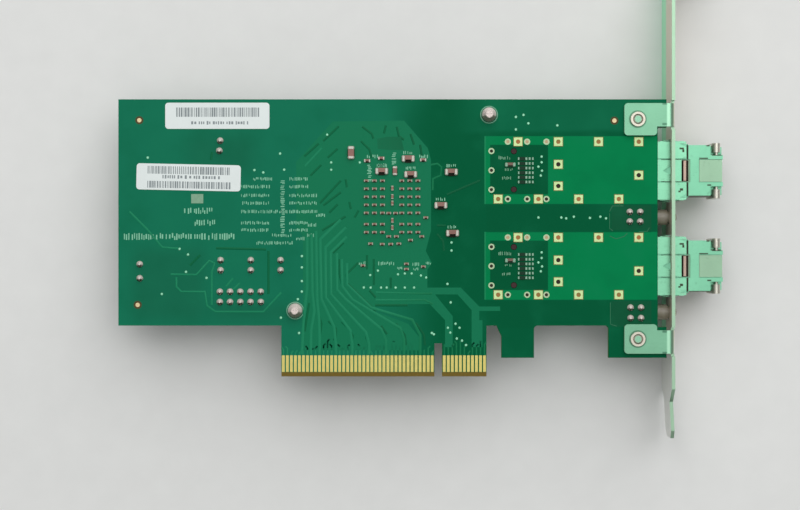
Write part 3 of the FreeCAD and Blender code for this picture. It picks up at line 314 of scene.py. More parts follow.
def solder_mask():
    """Glossy green mask: paler at the plain end, deep between the cages, with ground fields showing."""
    tone = colours()
    finish = Finish("solder_mask", Specular_IOR_Level=0.02)
    x, y = finish.axes[:2]
    cloud = finish.noise(34, 2) - 0.5
    base = finish.mix(finish.step(x + cloud * 13, -8, 9), tone.mask_left, tone.mask_right)
    rim = finish.step(y + cloud * 4, 60.6, 0.8) * finish.step(x, 8, 6)
    base = finish.mix(rim, base, linear(12, 104, 70))
    base = finish.mix(finish.fields(WORN_FIELDS) * 0.4, base, linear(24, 92, 66))
    left = span("cage_upper")[0].x - CAGE_MARGIN
    ground = cage_fields(finish, (left, GROUND_RIGHT, *GROUND_EDGES), 0.12)
    base = finish.mix(ground, base, tone.mask_cage)
    border = cage_fields(finish, (left, left + 0.3, *GROUND_EDGES), 0.08)
    base = finish.mix(border * 0.5, base, linear(48, 144, 102))
    near, far, lower, upper = POCKET
    pockets = cage_fields(finish, (left + near, left + far, lower, upper), 0.12)
    base = finish.mix(pockets, base, tone.mask_dark)
    base = finish.mix(finish.fields(STRIP_FIELDS) * 0.45, base, tone.mask_dark)
    base = finish.mix(finish.fields(LAMP_FIELDS) * 0.5, base, linear(28, 84, 58))
    weave = finish.noise(0.5, 1)
    fine = finish.noise(9, 3)
    base = finish.mix(finish.step(fine, 0.62, 0.16) * 0.18, base, tone.mask_dark)
    base = finish.mix(finish.step(1 - fine, 0.62, 0.14) * 0.14, base, tone.mask_track)
    layers = finish.step(finish.noise(0.25, 1, finish.stretched(0.05, 0.05, 1)), 0.5, 0.15)
    cut = finish.mix(layers, tone.laminate, linear(84, 104, 58))
    edge = 1 - finish.step(abs(finish.facing(2)), 0.8, 0.1)
    tip = (1 - finish.step(y, BEVEL_TOP, 0.05)) * finish.band(x, *BEVEL_ENDS, 0.1)
    base = finish.mix(tip, base, finish.shade(weave, 0.8, 1.15, tone.bevel))
    base = finish.mix(edge, base, cut)
    return finish.skin(base, 0.36 + 0.3 * edge + 0.06 * fine, weave * 0.4 + fine, 0.12, 0.02)


def masked_copper(name, tint, over_right):
    """Mask drawn thin over copper: paler than the board round it, and greener toward the ports."""
    finish = Finish(name, Specular_IOR_Level=0.08)
    x = finish.axes[0]
    cloud = finish.noise(12, 2)
    base = finish.mix(finish.step(x + (cloud - 0.5) * 16, -8, 12), tint, over_right)
    base = finish.mix(cloud * 0.25, base, colours().mask_middle)
    grain = finish.noise(0.4, 2)
    return finish.skin(base, 0.34 + 0.1 * grain, grain, 0.12, 0.01)


def rolled(finish, streak, tint):
    """The grain, cloud and colour of rolled and plated sheet."""
    grain = finish.noise(1.6, 3, finish.stretched(1.0, streak, streak))
    cloud = finish.noise(5.5, 3)
    return grain, cloud, finish.shade(cloud * 0.6 + grain * 0.4, 0.72, 1.06, tint)


def plated_metal(name, tint, rough=0.32, streak=24.0, metallic=0.85, marks=()):
    """Plated metal with faint clouds, a few dull spots, and painted shade in nicks and seams, given from each
    port's line.
    """
    finish = Finish(name, Metallic=metallic)
    grain, cloud, base = rolled(finish, streak, tint)
    spots = finish.step(finish.noise(1.1, 2), 0.68, 0.06)
    base = finish.mix(spots * 0.25, base, tuple(c * 0.55 for c in tint))
    # Painted shade: dark fields where the nicks, seams and shaded sides lie.
    for corners in marks:
        base = finish.mix(cage_fields(finish, corners, 0.1), base, linear(52, 58, 44))
    roughness = rough + 0.14 * (grain - 0.5) + 0.1 * spots
    return finish.skin(base, roughness, grain + cloud * 0.5, 0.18, 0.01)


def off_screw(finish):
    """The distance from the nearer bracket screw's axis, squared, in square millimetres."""
    x, y = finish.axes[:2]
    nearest = None
    for low, high in islands("bracket_screws"):
        across = x - (low.x + high.x) / 2
        along = y - (low.y + high.y) / 2
        away = across * across + along * along
        nearest = away if nearest is None else nearest.math("MINIMUM", away)
    return nearest


def bracket_steel():
    """Plated sheet with painted light: painted highlights on the cut edges, the bends and the collar tops,
    painted shade at the tab notches and round the collars, and painted reflections on the broad faces, warm
    high up, pale low down and greener low on the shaded inner face.
    """
    finish = Finish("bracket_steel")
    x, y, z = finish.axes
    grain, cloud, base = rolled(finish, 3.0, colours().plated)
    inner = sum(corner.x for corner in islands("bracket_screws")[0]) / 2 + SCREW_SETBACK
    # Painted highlight along the bend of each tab.
    bend_highlight = finish.band(x, inner - 1.15, inner - 0.35, 0.2)
    base = finish.mix(bend_highlight * 0.6, base, linear(176, 224, 192))
    away = off_screw(finish)
    raised = finish.step(z, face_levels()[0] + 1.5, 0.1)
    base = finish.mix(finish.band(away, *COLLAR_SHADOW, 0.5) * 0.75, base, linear(62, 96, 74))
    # Painted highlight on the raised top of each collar.
    base = finish.mix(raised * (1 - finish.step(away, COLLAR_TOP, 0.2)), base, linear(194, 188, 174))
    # Painted shade in the relief notches at the ends of the tabs' necks.
    notch_shade = [(inner - 2.3, inner - 1.2, end - 0.28, end + 0.28, 0.12) for end in TAB_ENDS]
    base = finish.mix(finish.fields(notch_shade) * 0.7, base, linear(50, 92, 70))
    # Painted highlight on the cut edge of the sheet beyond the inner face.
    rim = finish.step(x, inner, 0.08)
    base = finish.mix(rim * 0.75, base, linear(156, 184, 158))
    facing = finish.facing(0)
    broad = finish.step(abs(facing), 0.8, 0.1)
    # Painted reflections on the broad faces: warm high up, pale as the reflected floor below 8 mm.
    above = finish.step(y, 8, 4)
    face = finish.mix(above, linear(236, 238, 232), linear(226, 212, 194))
    # Painted light and green reflection on the shaded low part of the inner face.
    low_side = finish.step(facing * -1, 0.8, 0.1) * (1 - finish.step(z, -8.5, 1.5)) * above
    face = finish.mix(low_side, face, linear(172, 250, 204))
    base = finish.mix(broad, base, face)
    finish.surface(Metallic=0.85 - 0.5 * broad)
    return finish.skin(base, 0.34 + 0.14 * (grain - 0.5), grain + cloud * 0.5, 0.18, 0.01)


def screw_steel():
    """Bright screws, with painted shade tinted by a green painted reflection for a recess in the middle of
    each end.
    """
    finish = Finish("screw_nickel", Metallic=0.5)
    grain = finish.noise(1.2, 3)
    base = finish.shade(grain, 0.8, 1.05, linear(196, 188, 176))
    # Painted shade and green painted reflection where the recess in each end lies.
    base = finish.mix(1 - finish.step(off_screw(finish), 0.75, 0.3), base, linear(132, 186, 154))
    return finish.skin(base, 0.25 + 0.1 * grain, grain, 0.15, 0.01)


def gold_plating(name, tint, metallic=0.55):
    """Thin gold over nickel, a little dull where it has been rubbed."""
    finish = Finish(name, Metallic=metallic)
    cloud = finish.noise(1.2, 3)
    rub = finish.noise(0.7, 2, finish.stretched(6, 1, 1))
    base = finish.shade(cloud, 0.82, 1.08, tint)
    base = finish.mix(finish.step(rub, 0.62, 0.08) * 0.3, base, tuple(c * 0.7 for c in tint))
    return finish.skin(base, 0.3 + 0.2 * rub, rub, 0.1, 0.01)


def solder_metal(name, tint, metallic=0.7, low_side=None):
    """Bright, slightly frosted solder, with painted shade on the flank that looks down the card, where a
    colour for it is given.
    """
    finish = Finish(name, Metallic=metallic)
    frost = finish.noise(0.35, 3)
    base = finish.shade(frost, 0.7, 1.05, tint)
    if low_side:
        # Painted shade on the flank that faces down the card.
        down = finish.facing(1) * -1
        base = finish.mix(finish.step(down + 0.2 * frost, 0.32, 0.16), base, low_side)
    return finish.skin(base, 0.22 + 0.25 * frost, frost, 0.25, 0.02)


def print_ink(name, tint):
    """Screen-printed ink, thinner here and there."""
    finish = Finish(name, Specular_IOR_Level=0.3)
    wear = finish.noise(0.8, 3)
    return finish.surface(Base_Color=finish.shade(wear, 0.72, 1.08, tint), Roughness=0.5 + 0.2 * wear)


def moulding(name, tint, rough=0.5, sheen=0.3):
    """Moulded plastic or rubber with a fine matt texture."""
    finish = Finish(name, Specular_IOR_Level=sheen)
    fine = finish.noise(0.3, 2)
    cloud = finish.noise(4, 2)
    base = finish.shade(cloud, 0.8, 1.25, tint)
    return finish.skin(base, rough + 0.15 * fine, fine, 0.2, 0.02)


def clear_epoxy():
    """The clear, slightly brown resin of the lamps."""
    finish = Finish("lamp_epoxy", Transmission_Weight=0.55, IOR=1.5)
    cloud = finish.noise(1.4, 2)
    base = finish.mix(cloud, linear(168, 150, 128), linear(206, 206, 186))
    return finish.surface(Base_Color=base, Roughness=0.18 + 0.1 * cloud)


def anodised():
    """Black anodised aluminium with extrusion lines."""
    finish = Finish("black_anodised", Metallic=0.6)
    lines = finish.noise(0.5, 2, finish.stretched(0.02, 1, 1))
    cloud = finish.noise(8, 2)
    base = finish.shade(cloud, 0.7, 1.5, linear(34, 36, 38))
    return finish.skin(base, 0.42 + 0.15 * lines, lines, 0.25, 0.02)


def label_paper():
    """Coated label paper with a soft fibre."""
    finish = Finish("label_paper", Specular_IOR_Level=0.25)
    fibre = finish.noise(0.5, 4)
    cloud = finish.noise(7, 2)
    base = finish.shade(cloud * 0.7 + fibre * 0.3, 0.93, 1.04, colours().paper)
    return finish.skin(base, 0.55 + 0.1 * fibre, fibre, 0.1, 0.01)


def can_metal():
    """Brushed aluminium cans in a dark sleeve, bare on their tops."""
    finish = Finish("can_metal", Metallic=0.7)
    z = finish.axes[2]
    top = 1 - finish.step(z, span("capacitor_cans")[0].z + 0.5, 0.1)
    brush = finish.noise(0.6, 3, finish.stretched(1, 1, 12))
    sleeve = finish.shade(brush, 0.8, 1.2, linear(38, 40, 52))
    bare = finish.shade(brush, 0.8, 1.1, linear(196, 200, 198))
    return finish.surface(Base_Color=finish.mix(top, sleeve, bare), Roughness=0.35 + 0.15 * brush)


def pale_floor():
    """A matt pale floor with the faintest mottle."""
    finish = Finish("pale_floor", Specular_IOR_Level=0.1)
    mottle = finish.noise(6, 4)
    broad = finish.noise(120, 2)
    base = finish.shade(mottle * 0.6 + broad * 0.4, 0.94, 1.05, colours().floor)
    return finish.skin(base, 0.85 + 0.05 * mottle, mottle, 0.1, 0.1)


def dress(material, *nodes):
    """Gives CAD nodes their finish."""
    for name in nodes:
        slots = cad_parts[name].data.materials
        slots.clear()
        slots.append(material)


def both(*names):
    """The node names of the upper and lower port."""
    return [f"{name}_{port}" for name in names for port in PORTS]


def settle(name, shape, slot, *materials, body="card", replaced=()):
    """Turns a bmesh drawn in millimetres into a piece of the card."""
    bmesh.ops.recalc_face_normals(shape, faces=shape.faces)
    bmesh.ops.scale(shape, vec=(MM, MM, MM), verts=shape.verts)
    mesh = bpy.data.meshes.new(name)
    shape.to_mesh(mesh)
    shape.free()
    piece = bpy.data.objects.new(name, mesh)
    bpy.context.scene.collection.objects.link(piece)
    for material in materials:
        mesh.materials.append(material)
    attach(piece, body)
    if replaced:
        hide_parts(*replaced)


def block(shape, centre, size, material=0):
    """Adds one box to a shape, by its centre and its three sides."""
    matrix = Matrix.Translation(centre) @ Matrix.Diagonal((*size, 1))
    made = bmesh.ops.create_cube(shape, size=1, matrix=matrix)["verts"]
    for face in {face for vert in made for face in vert.link_faces}:
        face.material_index = material
    return made


def flat_mark(shape, x, y, wide, tall, low, high):
    """Adds one thin printed mark."""
    block(shape, (x, y, (low + high) / 2), (wide, tall, high - low))


def strokes(shape, x, y, run, tall, low, high, draw, upright=True, bold=1.0):
    """A row of thin strokes of uneven height with small gaps, along X, or along Y when not upright."""
    at = 0.0
    while at < run:
        wide = draw.uniform(*STROKE_WIDTHS) * bold
        reach = tall * draw.uniform(0.55, 1.0)
        shift = (tall - reach) / 2 * draw.choice((-1, 0, 1))
        if upright:
            flat_mark(shape, x + at, y + shift, wide, reach, low - INK_SUNK, high)
        else:
            flat_mark(shape, y + shift, x + at, reach, wide, low - INK_SUNK, high)
        at += wide + draw.choice(STROKE_GAPS) * bold


def disc(shape, x, y, radius, low, high, segments=12, top_radius=None):
    """Adds one closed disc or cone frustum standing along Z."""
    top = radius if top_radius is None else top_radius
    place = Matrix.Translation((x, y, (low + high) / 2))
    bmesh.ops.create_cone(
        shape, cap_ends=True, segments=segments, radius1=radius, radius2=top, depth=high - low, matrix=place
    )


def thicken(shape, faces, rise):
    """Raises flat faces into a plate."""
    raised = bmesh.ops.extrude_face_region(shape, geom=faces)["geom"]
    verts = [item for item in raised if isinstance(item, bmesh.types.BMVert)]
    bmesh.ops.translate(shape, vec=(0, 0, rise), verts=verts)


def holed_plate(shape, x, y, half, hole, low, high, square, sides=16):
    """Adds one thin plate with a round hole, square or round outside."""
    place = Matrix.Translation((x, y, low))
    inner = bmesh.ops.create_circle(shape, segments=sides, radius=hole, matrix=place)["verts"]
    outer = bmesh.ops.create_circle(shape, segments=sides, radius=half, matrix=place)["verts"]
    if square:
        for vert in outer:
            across = max(abs(vert.co.x - x), abs(vert.co.y - y))
            vert.co.x = x + (vert.co.x - x) * half / across
            vert.co.y = y + (vert.co.y - y) * half / across
    edges = list({edge for vert in inner + outer for edge in vert.link_edges})
    thicken(shape, bmesh.ops.bridge_loops(shape, edges=edges)["faces"], high - low)


def islands(node):
    """The lowest and highest corners of each separate solid of a CAD node, in millimetres."""
    copy = bmesh.new()
    copy.from_mesh(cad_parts[node].data)
    bmesh.ops.remove_doubles(copy, verts=copy.verts, dist=1e-6)
    left = set(copy.verts)
    found = []
    while left:
        open_verts = [left.pop()]
        group = list(open_verts)
        while open_verts:
            for edge in open_verts.pop().link_edges:
                for vert in edge.verts:
                    if vert in left:
                        left.discard(vert)
                        open_verts.append(vert)
                        group.append(vert)
        low = Vector([min(vert.co[i] for vert in group) for i in range(3)]) / MM
        high = Vector([max(vert.co[i] for vert in group) for i in range(3)]) / MM
        found.append((low, high))
    copy.free()
    return sorted(found, key=lambda pair: (round(pair[0].x, 2), round(pair[0].y, 2)))


def face_levels():
    """The solder side and the component side of the board, in millimetres."""
    label_low = span("label_upper")[0].z
    return label_low, -label_low


def ribbons(name, routes, width, material, slot, tall):
    """Lays flat tracks along routes on the solder side, as one piece."""
    curve = bpy.data.curves.new(name + "_route", "CURVE")
    curve.dimensions = "3D"
    curve.twist_mode = "Z_UP"
    curve.bevel_depth = tall / 2
    curve.bevel_resolution = 0
    curve.extrude = max(width / 2 - tall / 2, 0.001)
    curve.use_fill_caps = True
    level = face_levels()[0]
    for route in routes:
        spline = curve.splines.new("POLY")
        spline.points.add(len(route) - 1)
        for point, (x, y) in zip(spline.points, route):
            point.co = (x, y, level + tall / 2 - 0.008, 1)
            point.tilt = math.pi / 2
    holder = bpy.data.objects.new(name + "_route", curve)
    mesh = bpy.data.meshes.new_from_object(holder)
    bpy.data.objects.remove(holder)
    shape = bmesh.new()
    shape.from_mesh(mesh)
    bpy.data.meshes.remove(mesh)
    settle(name, shape, slot, material)


PORTS = ("upper", "lower")
# How far thin copper, and printed marks, are sunk in the board so that no gap shows under them
SUNK = 0.01
INK_SUNK = 0.002
# Heights and depths at the cage pins: pads, their bare rims, and the open holes
PAD_TALL = 0.03
RIM_TALL = 0.012
PAD_RIM = 0.14
HOLE_DEPTH = 0.3
# Radii of the cage's holes and of what fills them, which reaches a little under the pad, and of a peg
PIN_HOLE = 0.56
PIN_FILL = 0.6
REAR_HOLE = 0.42
REAR_FILL = 0.46
PEG_RADIUS = 0.66
# The cage's pins: inset from its walls, first pin behind its front, pitch, shift of the lower row,
# the pins between the rows, and the round rear pins' setback and pitch
PIN_INSET = 0.125
FIRST_PIN = 42.05
PIN_PITCH = 10
ROW_SHIFT = 4.95
INNER_PINS = ((10, -3.9), (10, 1.5), (30, -1.2))
REAR_SETBACK = 4.2
REAR_PITCH = 4.8
# Widths of the printed strokes and the gaps between them
STROKE_WIDTHS = (0.14, 0.26)
STROKE_GAPS = (0.14, 0.18, 0.22, 0.4)
# The necks that lead the contacts into the board: how far they reach and how far they lean
NECK_WIDTH = 0.42
NECK_TALL = 0.02
NECK_REACH = (0.9, 4.2)
NECK_LEANS = (-0.5, 0, 0.5)
# The ground field of a cage: its margin before the cage, its far edge, and its edges from the port's line
CAGE_MARGIN = 1.6
GROUND_RIGHT = 54.4
GROUND_EDGES = (-8.35, 8.5)
# The dark pocket in it: near and far edge from the field's left edge, then from the port's line
POCKET = (1.4, 15.8, -5.95, 6.35)
# The bevelled contact edge: how high it reaches, and its two ends
BEVEL_TOP = 1.08
BEVEL_ENDS = (-39.1, 12.2)
# The painted shadow round a tapped collar and the edge of its top, which gets a painted highlight, as squared
# distances from its axis
COLLAR_SHADOW = (3.3, 4.8)
COLLAR_TOP = 3.4
# Soft fields of the mask: left, right, lower and upper edge, and softness
WORN_FIELDS = ((-76, -58, 14, 32, 3), (-56, -34, 14, 18, 3), (-62, -46, 50, 60, 4))
STRIP_FIELDS = ((12.0, 53.0, 35.8, 42.6, 0.15), (12.0, 53.0, 12.0, 18.8, 0.15))
LAMP_FIELDS = ((43.0, 53.0, 36.4, 42.6, 0.15), (43.0, 53.0, 12.4, 18.8, 0.15))

# Routes of the copper on the solder side, in millimetres from the key notch: the tracks that fan out from
# the contacts, the tracks at the plain end, and the dark gaps beside tracks
FAN = (
    ((-32.6, 34.7), (-32.6, 21.9), (-33.5, 14.1), (-33.7, 10.0), (-33.9, 5.5)),
    ((-31.5, 35.4), (-31.3, 21.1), (-30.8, 16.3), (-31.6, 11.5), (-31.7, 5.5)),
    ((-30.4, 36.2), (-30.1, 18.6), (-29.6, 14.1), (-29.5, 10.0), (-29.5, 5.5)),
    ((-24.2, 39.0), (-29.3, 34.2), (-29.1, 19.3), (-25.9, 12.3), (-25.5, 8.5), (-25.4, 5.5)),
    ((-22.9, 37.0), (-28.0, 32.2), (-28.0, 19.6), (-21.9, 11.5), (-21.4, 8.3), (-21.4, 5.5)),
    ((-22.7, 34.7), (-26.7, 30.9), (-26.7, 20.4), (-18.0, 11.0), (-17.2, 8.0), (-17.2, 5.5)),
    ((-25.2, 30.7), (-25.2, 21.6), (-23.2, 19.3), (-14.2, 11.8), (-13.0, 9.0), (-13.0, 5.5)),
    ((-24.0, 29.2), (-23.9, 22.4), (-21.4, 19.1), (-9.5, 12.1), (-8.5, 9.3), (-8.5, 5.5)),
    ((-22.7, 28.2), (-22.7, 22.9), (-16.7, 17.1), (-6.5, 14.1), (-4.5, 10.3), (-4.5, 5.5)),
)
LOOPS = (
    ((-76.8, 41.0), (-72.4, 36.6), (-68.6, 32.1), (-64.5, 31.8)),
    ((-66.5, 25.4), (-60.1, 25.3), (-56.9, 28.8), (-55.6, 28.2), (-56.3, 25.9), (-56.3, 17.8)),
    ((-65.1, 24.7), (-65.1, 22.3), (-63.9, 21.1), (-58.0, 21.1), (-57.5, 17.6), (-55.4, 16.1),
     (-43.4, 16.1), (-39.0, 20.9)),
    ((-1.8, 52.6), (-0.2, 52.9), (0.8, 52.1), (0.7, 50.0), (-1.3, 49.2), (-1.4, 46.3)),
    ((-15.5, 19.0), (-3.3, 19.0), (-1.4, 18.0)),
    ((-15.5, 20.9), (-4.5, 20.6), (-1.5, 20.6)),
    ((-52.7, 22.4), (-51.0, 24.4)),
    ((-51.0, 21.6), (-49.3, 23.2)),
    ((-33.1, 52.3), (-28.9, 56.8)),
)
GAPS = (
    ((-33.3, 54.7), (-29.7, 57.9)),
    ((-28.6, 58.5), (-24.7, 62.2)),
    ((-27.5, 54.4), (-25.0, 56.6)),
    ((-31.8, 49.9), (-29.1, 52.6)),
    ((-29.4, 43.1), (-24.2, 48.7)),
    ((-28.6, 42.5), (-24.2, 45.8)),
    ((-27.1, 40.7), (-25.0, 42.8)),
    ((-28.9, 36.3), (-23.0, 39.8)),
    ((-20.8, 39.5), (-19.8, 41.3)),
    ((-22.1, 43.4), (-21.7, 41.6)),
    ((-23.0, 49.0), (-22.7, 47.0)),
    ((-19.2, 58.5), (-17.1, 56.4), (-16.5, 54.3)),
    ((-18.9, 62.1), (-16.5, 60.3), (-16.1, 59.1)),
    ((-6.9, 60.3), (-6.0, 57.6)),
    ((-4.5, 57.6), (-4.1, 54.9)),
    ((2.2, 45.2), (10.4, 48.7)),
    ((-42.2, 31.2), (-42.2, 20.5)),
    ((-55.2, 31.9), (-42.8, 31.6)),
    ((-59.2, 30.2), (-61.7, 27.6)),
    ((-56.2, 55.8), (-56.5, 53.8)),
    ((-24.5, 29.2), (-24.5, 25.6), (-23.8, 22.0)),
    ((-19.9, 28.3), (-22.9, 25.3), (-22.6, 23.2), (-15.5, 16.2)),
    ((-32.1, 18.3), (-33.2, 11.2)),
    ((-29.7, 15.3), (-29.0, 13.1), (-29.4, 10.3)),
    ((-27.3, 13.8), (-25.4, 11.9), (-25.5, 8.8)),
    ((-24.0, 13.6), (-22.1, 11.8), (-21.2, 10.0), (-21.6, 8.3)),
    ((-26.2, 30.7), (-23.5, 33.3)),
    ((-10.5, 13.1), (-8.3, 10.3), (-8.0, 7.8)),
    ((-5.6, 13.3), (-3.6, 10.5), (-3.3, 7.8)),
    ((-18.0, 10.0), (-17.0, 7.5)),
    ((-14.2, 12.6), (-12.7, 10.5)),
    ((-15.7, 17.7), (-7.6, 17.7)),
    ((-16.0, 29.2), (-16.0, 22.7)),
    ((-17.7, 30.2), (-17.7, 26.6)),
    ((-17.1, 21.4), (-15.5, 19.6)),
    ((-11.8, 24.6), (-11.8, 21.9)),
    ((-13.0, 62.4), (-13.5, 60.4)),
    ((-10.3, 62.1), (-9.8, 59.8), (-8.5, 58.8)),
    ((-0.3, 37.5), (1.9, 37.5)),
    ((-0.3, 35.4), (1.2, 33.7), (1.4, 31.2)),
)
# Outlines of the broad copper fields, and of the bare laminate in them
POURS = (
    ((-33.6, 6.5), (-33.6, 34.7), (-35.3, 37.5), (-35.3, 53.3), (-26.2, 63.4), (-8.5, 63.6), (-2.6, 56.8),
     (-1.8, 53.8), (-1.8, 36.2), (-3.1, 31.2), (-1.6, 28.2), (-2.7, 26.6), (-2.7, 22.1), (5.6, 22.1),
     (10.2, 17.4), (15.4, 17.4), (15.4, 16.3), (10.2, 16.3), (10.2, 14.0), (11.0, 14.0), (11.0, 7.3),
     (8.3, 7.3), (8.3, 16.5), (4.8, 20.4), (-0.8, 20.4), (3.6, 15.0), (3.6, 7.3), (1.7, 7.3), (1.7, 14.0),
     (-2.1, 18.0), (-15.5, 18.0), (-15.5, 16.1), (-7.5, 13.1), (-4.3, 9.3), (-4.3, 6.5)),
)
HOLLOWS = (
    ((-15.2, 59.1), (-12.5, 59.6), (-9.3, 59.6), (-8.5, 56.3), (-12.0, 56.3), (-15.0, 56.6)),
)
# Centres of vias, of vias from each port's line, of soldered joints and of round aligning marks
VIAS = (
    (-18.5, 22.1), (-16.8, 22.1), (-14.2, 22.1), (-12.8, 22.1), (-10.6, 22.1), (-8.3, 22.1), (-6.0, 22.1),
    (-10.0, 25.4), (-8.3, 25.6), (-6.6, 25.6), (-4.3, 25.1), (-3.0, 24.6), (-15.0, 26.3), (-16.9, 25.2),
    (-72.2, 54.4), (-39.3, 55.4), (-38.3, 51.4), (-45.7, 51.3), (-43.5, 50.7), (-27.6, 60.1), (-26.6, 53.2),
    (-26.6, 51.4), (-19.5, 53.2), (19.3, 64.5), (21.2, 65.0), (22.4, 62.9), (19.3, 61.4), (29.6, 62.4),
    (24.9, 39.5), (30.6, 39.5), (31.8, 39.3), (33.7, 39.7), (37.7, 39.4), (40.3, 39.7), (41.7, 39.3),
    (-33.9, 29.9), (-33.9, 27.1), (-33.9, 23.7), (-33.9, 21.1), (-34.6, 10.8), (-1.6, 10.8), (-1.1, 10.5),
    (-64.3, 31.7), (-62.2, 30.3), (-62.7, 26.0), (-57.6, 24.5), (-68.7, 20.5), (-39.1, 14.6), (-34.9, 19.2),
    (3.3, 33.3), (3.3, 31.3), (2.3, 23.0), (3.1, 18.4), (4.3, 13.1), (5.3, 12.1), (3.0, 10.9), (2.4, 12.1),
    (4.6, 9.4), (5.9, 8.9), (6.9, 7.8),
)
CAGE_VIAS = ((25.7, 3.4), (25.7, 2.0), (24.9, 0.9), (25.8, -0.1), (25.5, -1.3))
JOINTS = (
    (-54.2, 58.6), (-54.4, 56.1), (-74.2, 27.9), (-74.2, 24.4),
    (-54.1, 28.9), (-54.1, 26.4), (-46.6, 28.9), (-46.6, 26.4), (-39.2, 28.9), (-39.2, 26.4),
)
LAMP_JOINTS = (
    (47.6, 40.9), (50.2, 40.9), (47.6, 38.5), (50.2, 38.5),
    (47.8, 17.1), (50.4, 17.1), (47.8, 14.5), (50.4, 14.5),
)
ALIGNING_MARKS = ((-74.3, 63.7), (-74.7, 17.8), (43.8, 63.6))
# Painted shade in the nicks of the cages, in the seams of the noses and along the shaded lower side of each
# nose: left, right, lower and upper edge from each port's line
CAGE_NICK_SHADE = (
    (60.2, 61.3, 5.3, 5.75), (60.9, 61.4, 4.6, 5.3), (60.3, 61.1, -5.0, -4.4), (59.9, 60.5, -5.4, -5.0),
)
NOSE_SEAM_SHADE = (
    (65.2, 67.4, 2.95, 3.25), (68.4, 70.9, 3.75, 4.15), (67.2, 68.2, -3.75, -3.4), (62.6, 70.6, -6.6, -6.2),
    (62.1, 62.5, -6.4, -2.9), (62.1, 62.5, 2.9, 6.4), (67.0, 67.8, 6.1, 6.7),
)
# The domes of the joints, from foot to top, as shares of their radius and height
JOINT_PROFILE = ((1.0, 0.0), (0.86, 0.36), (0.56, 0.72), (0.26, 1.0))
# The share of a chip's length that each of its tinned ends takes
CHIP_END = 0.27
# Where the necks of the bracket's two tabs end
TAB_ENDS = (5.9, 11.2, 62.7, 67.8)
# From the middle of the bracket's screws to its inner face
SCREW_SETBACK = 8.4
# Small chips beside the regular rows: X, Y and the axis that they lie along
SMALL_CHIPS = (
    (-11.4, 46.8, 1), (-11.4, 44.7, 1), (-11.4, 43.1, 1), (-11.4, 38.8, 1), (-11.4, 37.0, 1),
    (-12.3, 34.8, 0), (-10.4, 34.8, 0), (-6.9, 33.9, 0), (-4.1, 34.8, 0), (-16.8, 33.0, 0),
    (-13.9, 32.9, 0), (-11.8, 32.9, 0), (-9.8, 33.0, 0), (-3.1, 39.5, 0), (-12.3, 40.6, 0),
    (-10.6, 40.6, 0), (-18.7, 27.6, 0), (-7.9, 28.0, 0), (-7.9, 26.7, 0), (-3.7, 27.3, 0),
)
# The pegs of a cage's connector: how far behind the cage's front, and how far apart
PEG_SETBACK = 43.1
PEG_SPREAD = 9.5
# What stands in the dark pocket behind each cage, from its port's line: rows, marks in a row, and print
ARRAY_ROWS = (2.9, 1.7, 0.55, -0.6, -1.75, -2.9)
ARRAY_MARKS = ((20.0, 0.35), (21.9, 0.45), (22.7, 0.45), (23.5, 0.4))
ARRAY_PRINT = ((15.1, 3.15, 3.0, 0.9), (16.7, 0.2, 1.7, 0.6), (16.0, -1.9, 2.2, 0.8))
# Printed rows: left end, middle, run and height, then rows along Y, thin outlines, and rows of one height
LEGEND_EXTRAS = (
    (-63.0, 41.2, 7.4, 1.5), (-60.4, 38.2, 5.6, 1.5), (-78.0, 34.8, 27.4, 1.7), (-17.6, 54.7, 2.6, 0.9),
    (-14.8, 52.4, 2.2, 0.8), (-4.6, 54.7, 2.0, 0.9), (-19.6, 28.2, 1.9, 0.9), (-14.8, 28.1, 3.9, 0.9),
    (-10.1, 26.9, 1.4, 0.7), (-6.3, 27.9, 1.5, 0.9), (-6.1, 26.7, 1.2, 0.7), (-3.0, 28.2, 1.2, 0.7),
)
LEGEND_COLUMNS = ((-38.7, 35.8, 48.8), (-17.1, 48.6, 52.7), (-11.0, 52.8, 55.6))
OUTLINES = (
    ((42.6, 41.0), (43.3, 42.4), (46.0, 42.4)), ((42.6, 40.6), (42.6, 36.8), (43.4, 36.2)),
    ((42.6, 34.9), (44.2, 34.2), (46.2, 34.8), (47.0, 35.6)), ((49.9, 36.0), (52.0, 36.1), (52.5, 37.0)),
    ((42.8, 18.4), (42.8, 13.0), (44.4, 12.5)),
)
LEGEND_ROWS = (
    (-45.9, 49.1, 4.5), (-49.0, 47.2, 7.4), (-48.9, 45.0, 7.0), (-48.6, 43.1, 6.6), (-48.9, 41.0, 11.6),
    (-48.9, 38.2, 7.0), (-48.9, 36.4, 7.0), (-41.2, 35.1, 4.8), (-45.1, 33.2, 9.1),
    (-36.9, 49.1, 4.7), (-36.9, 47.2, 4.7), (-36.9, 45.0, 7.0), (-36.9, 43.1, 7.0), (-36.9, 41.0, 7.0),
    (-36.9, 38.2, 4.6), (-36.9, 36.4, 4.6), (-30.2, 40.1, 2.2), (-32.3, 37.7, 2.2), (-32.5, 35.1, 2.3),
    (-35.2, 34.3, 2.0),
)
# A plain printed field: its centre and its two sides
LEGEND_FIELD = (-59.9, 44.2, 3.0, 2.3)
# Bars and small marks of the labels
BAR_WIDTHS = (0.14, 0.2, 0.2, 0.32, 0.42)
BAR_GAPS = (0.14, 0.2, 0.28)
MARK_WIDTHS = (0.3, 0.42, 0.5)
MARK_GAPS = (0.2, 0.28, 0.6)
# The studio: half the floor's side in millimetres, and the lamps' places and aim in metres
FLOOR_HALF = 1500
SIDE_LAMP_PLACE = (0.2, 0.88, 0.9)
OVERHEAD_PLACE = (0.05, 0.12, 1.3)
LAMP_AIM = (0, 0.03, 0)


class CARD_OT_board(bpy.types.Operator):
    """Finish the laminate and its edge contacts"""

    bl_idname = "card.board"
    bl_label = "Board"

    def execute(self, context):
        dress(solder_mask(), "circuit_board")
        contacts = gold_plating("contact_gold", colours().contact)
        dress(contacts, "edge_contacts_solder_side", "edge_contacts_component_side")
        return {"FINISHED"}


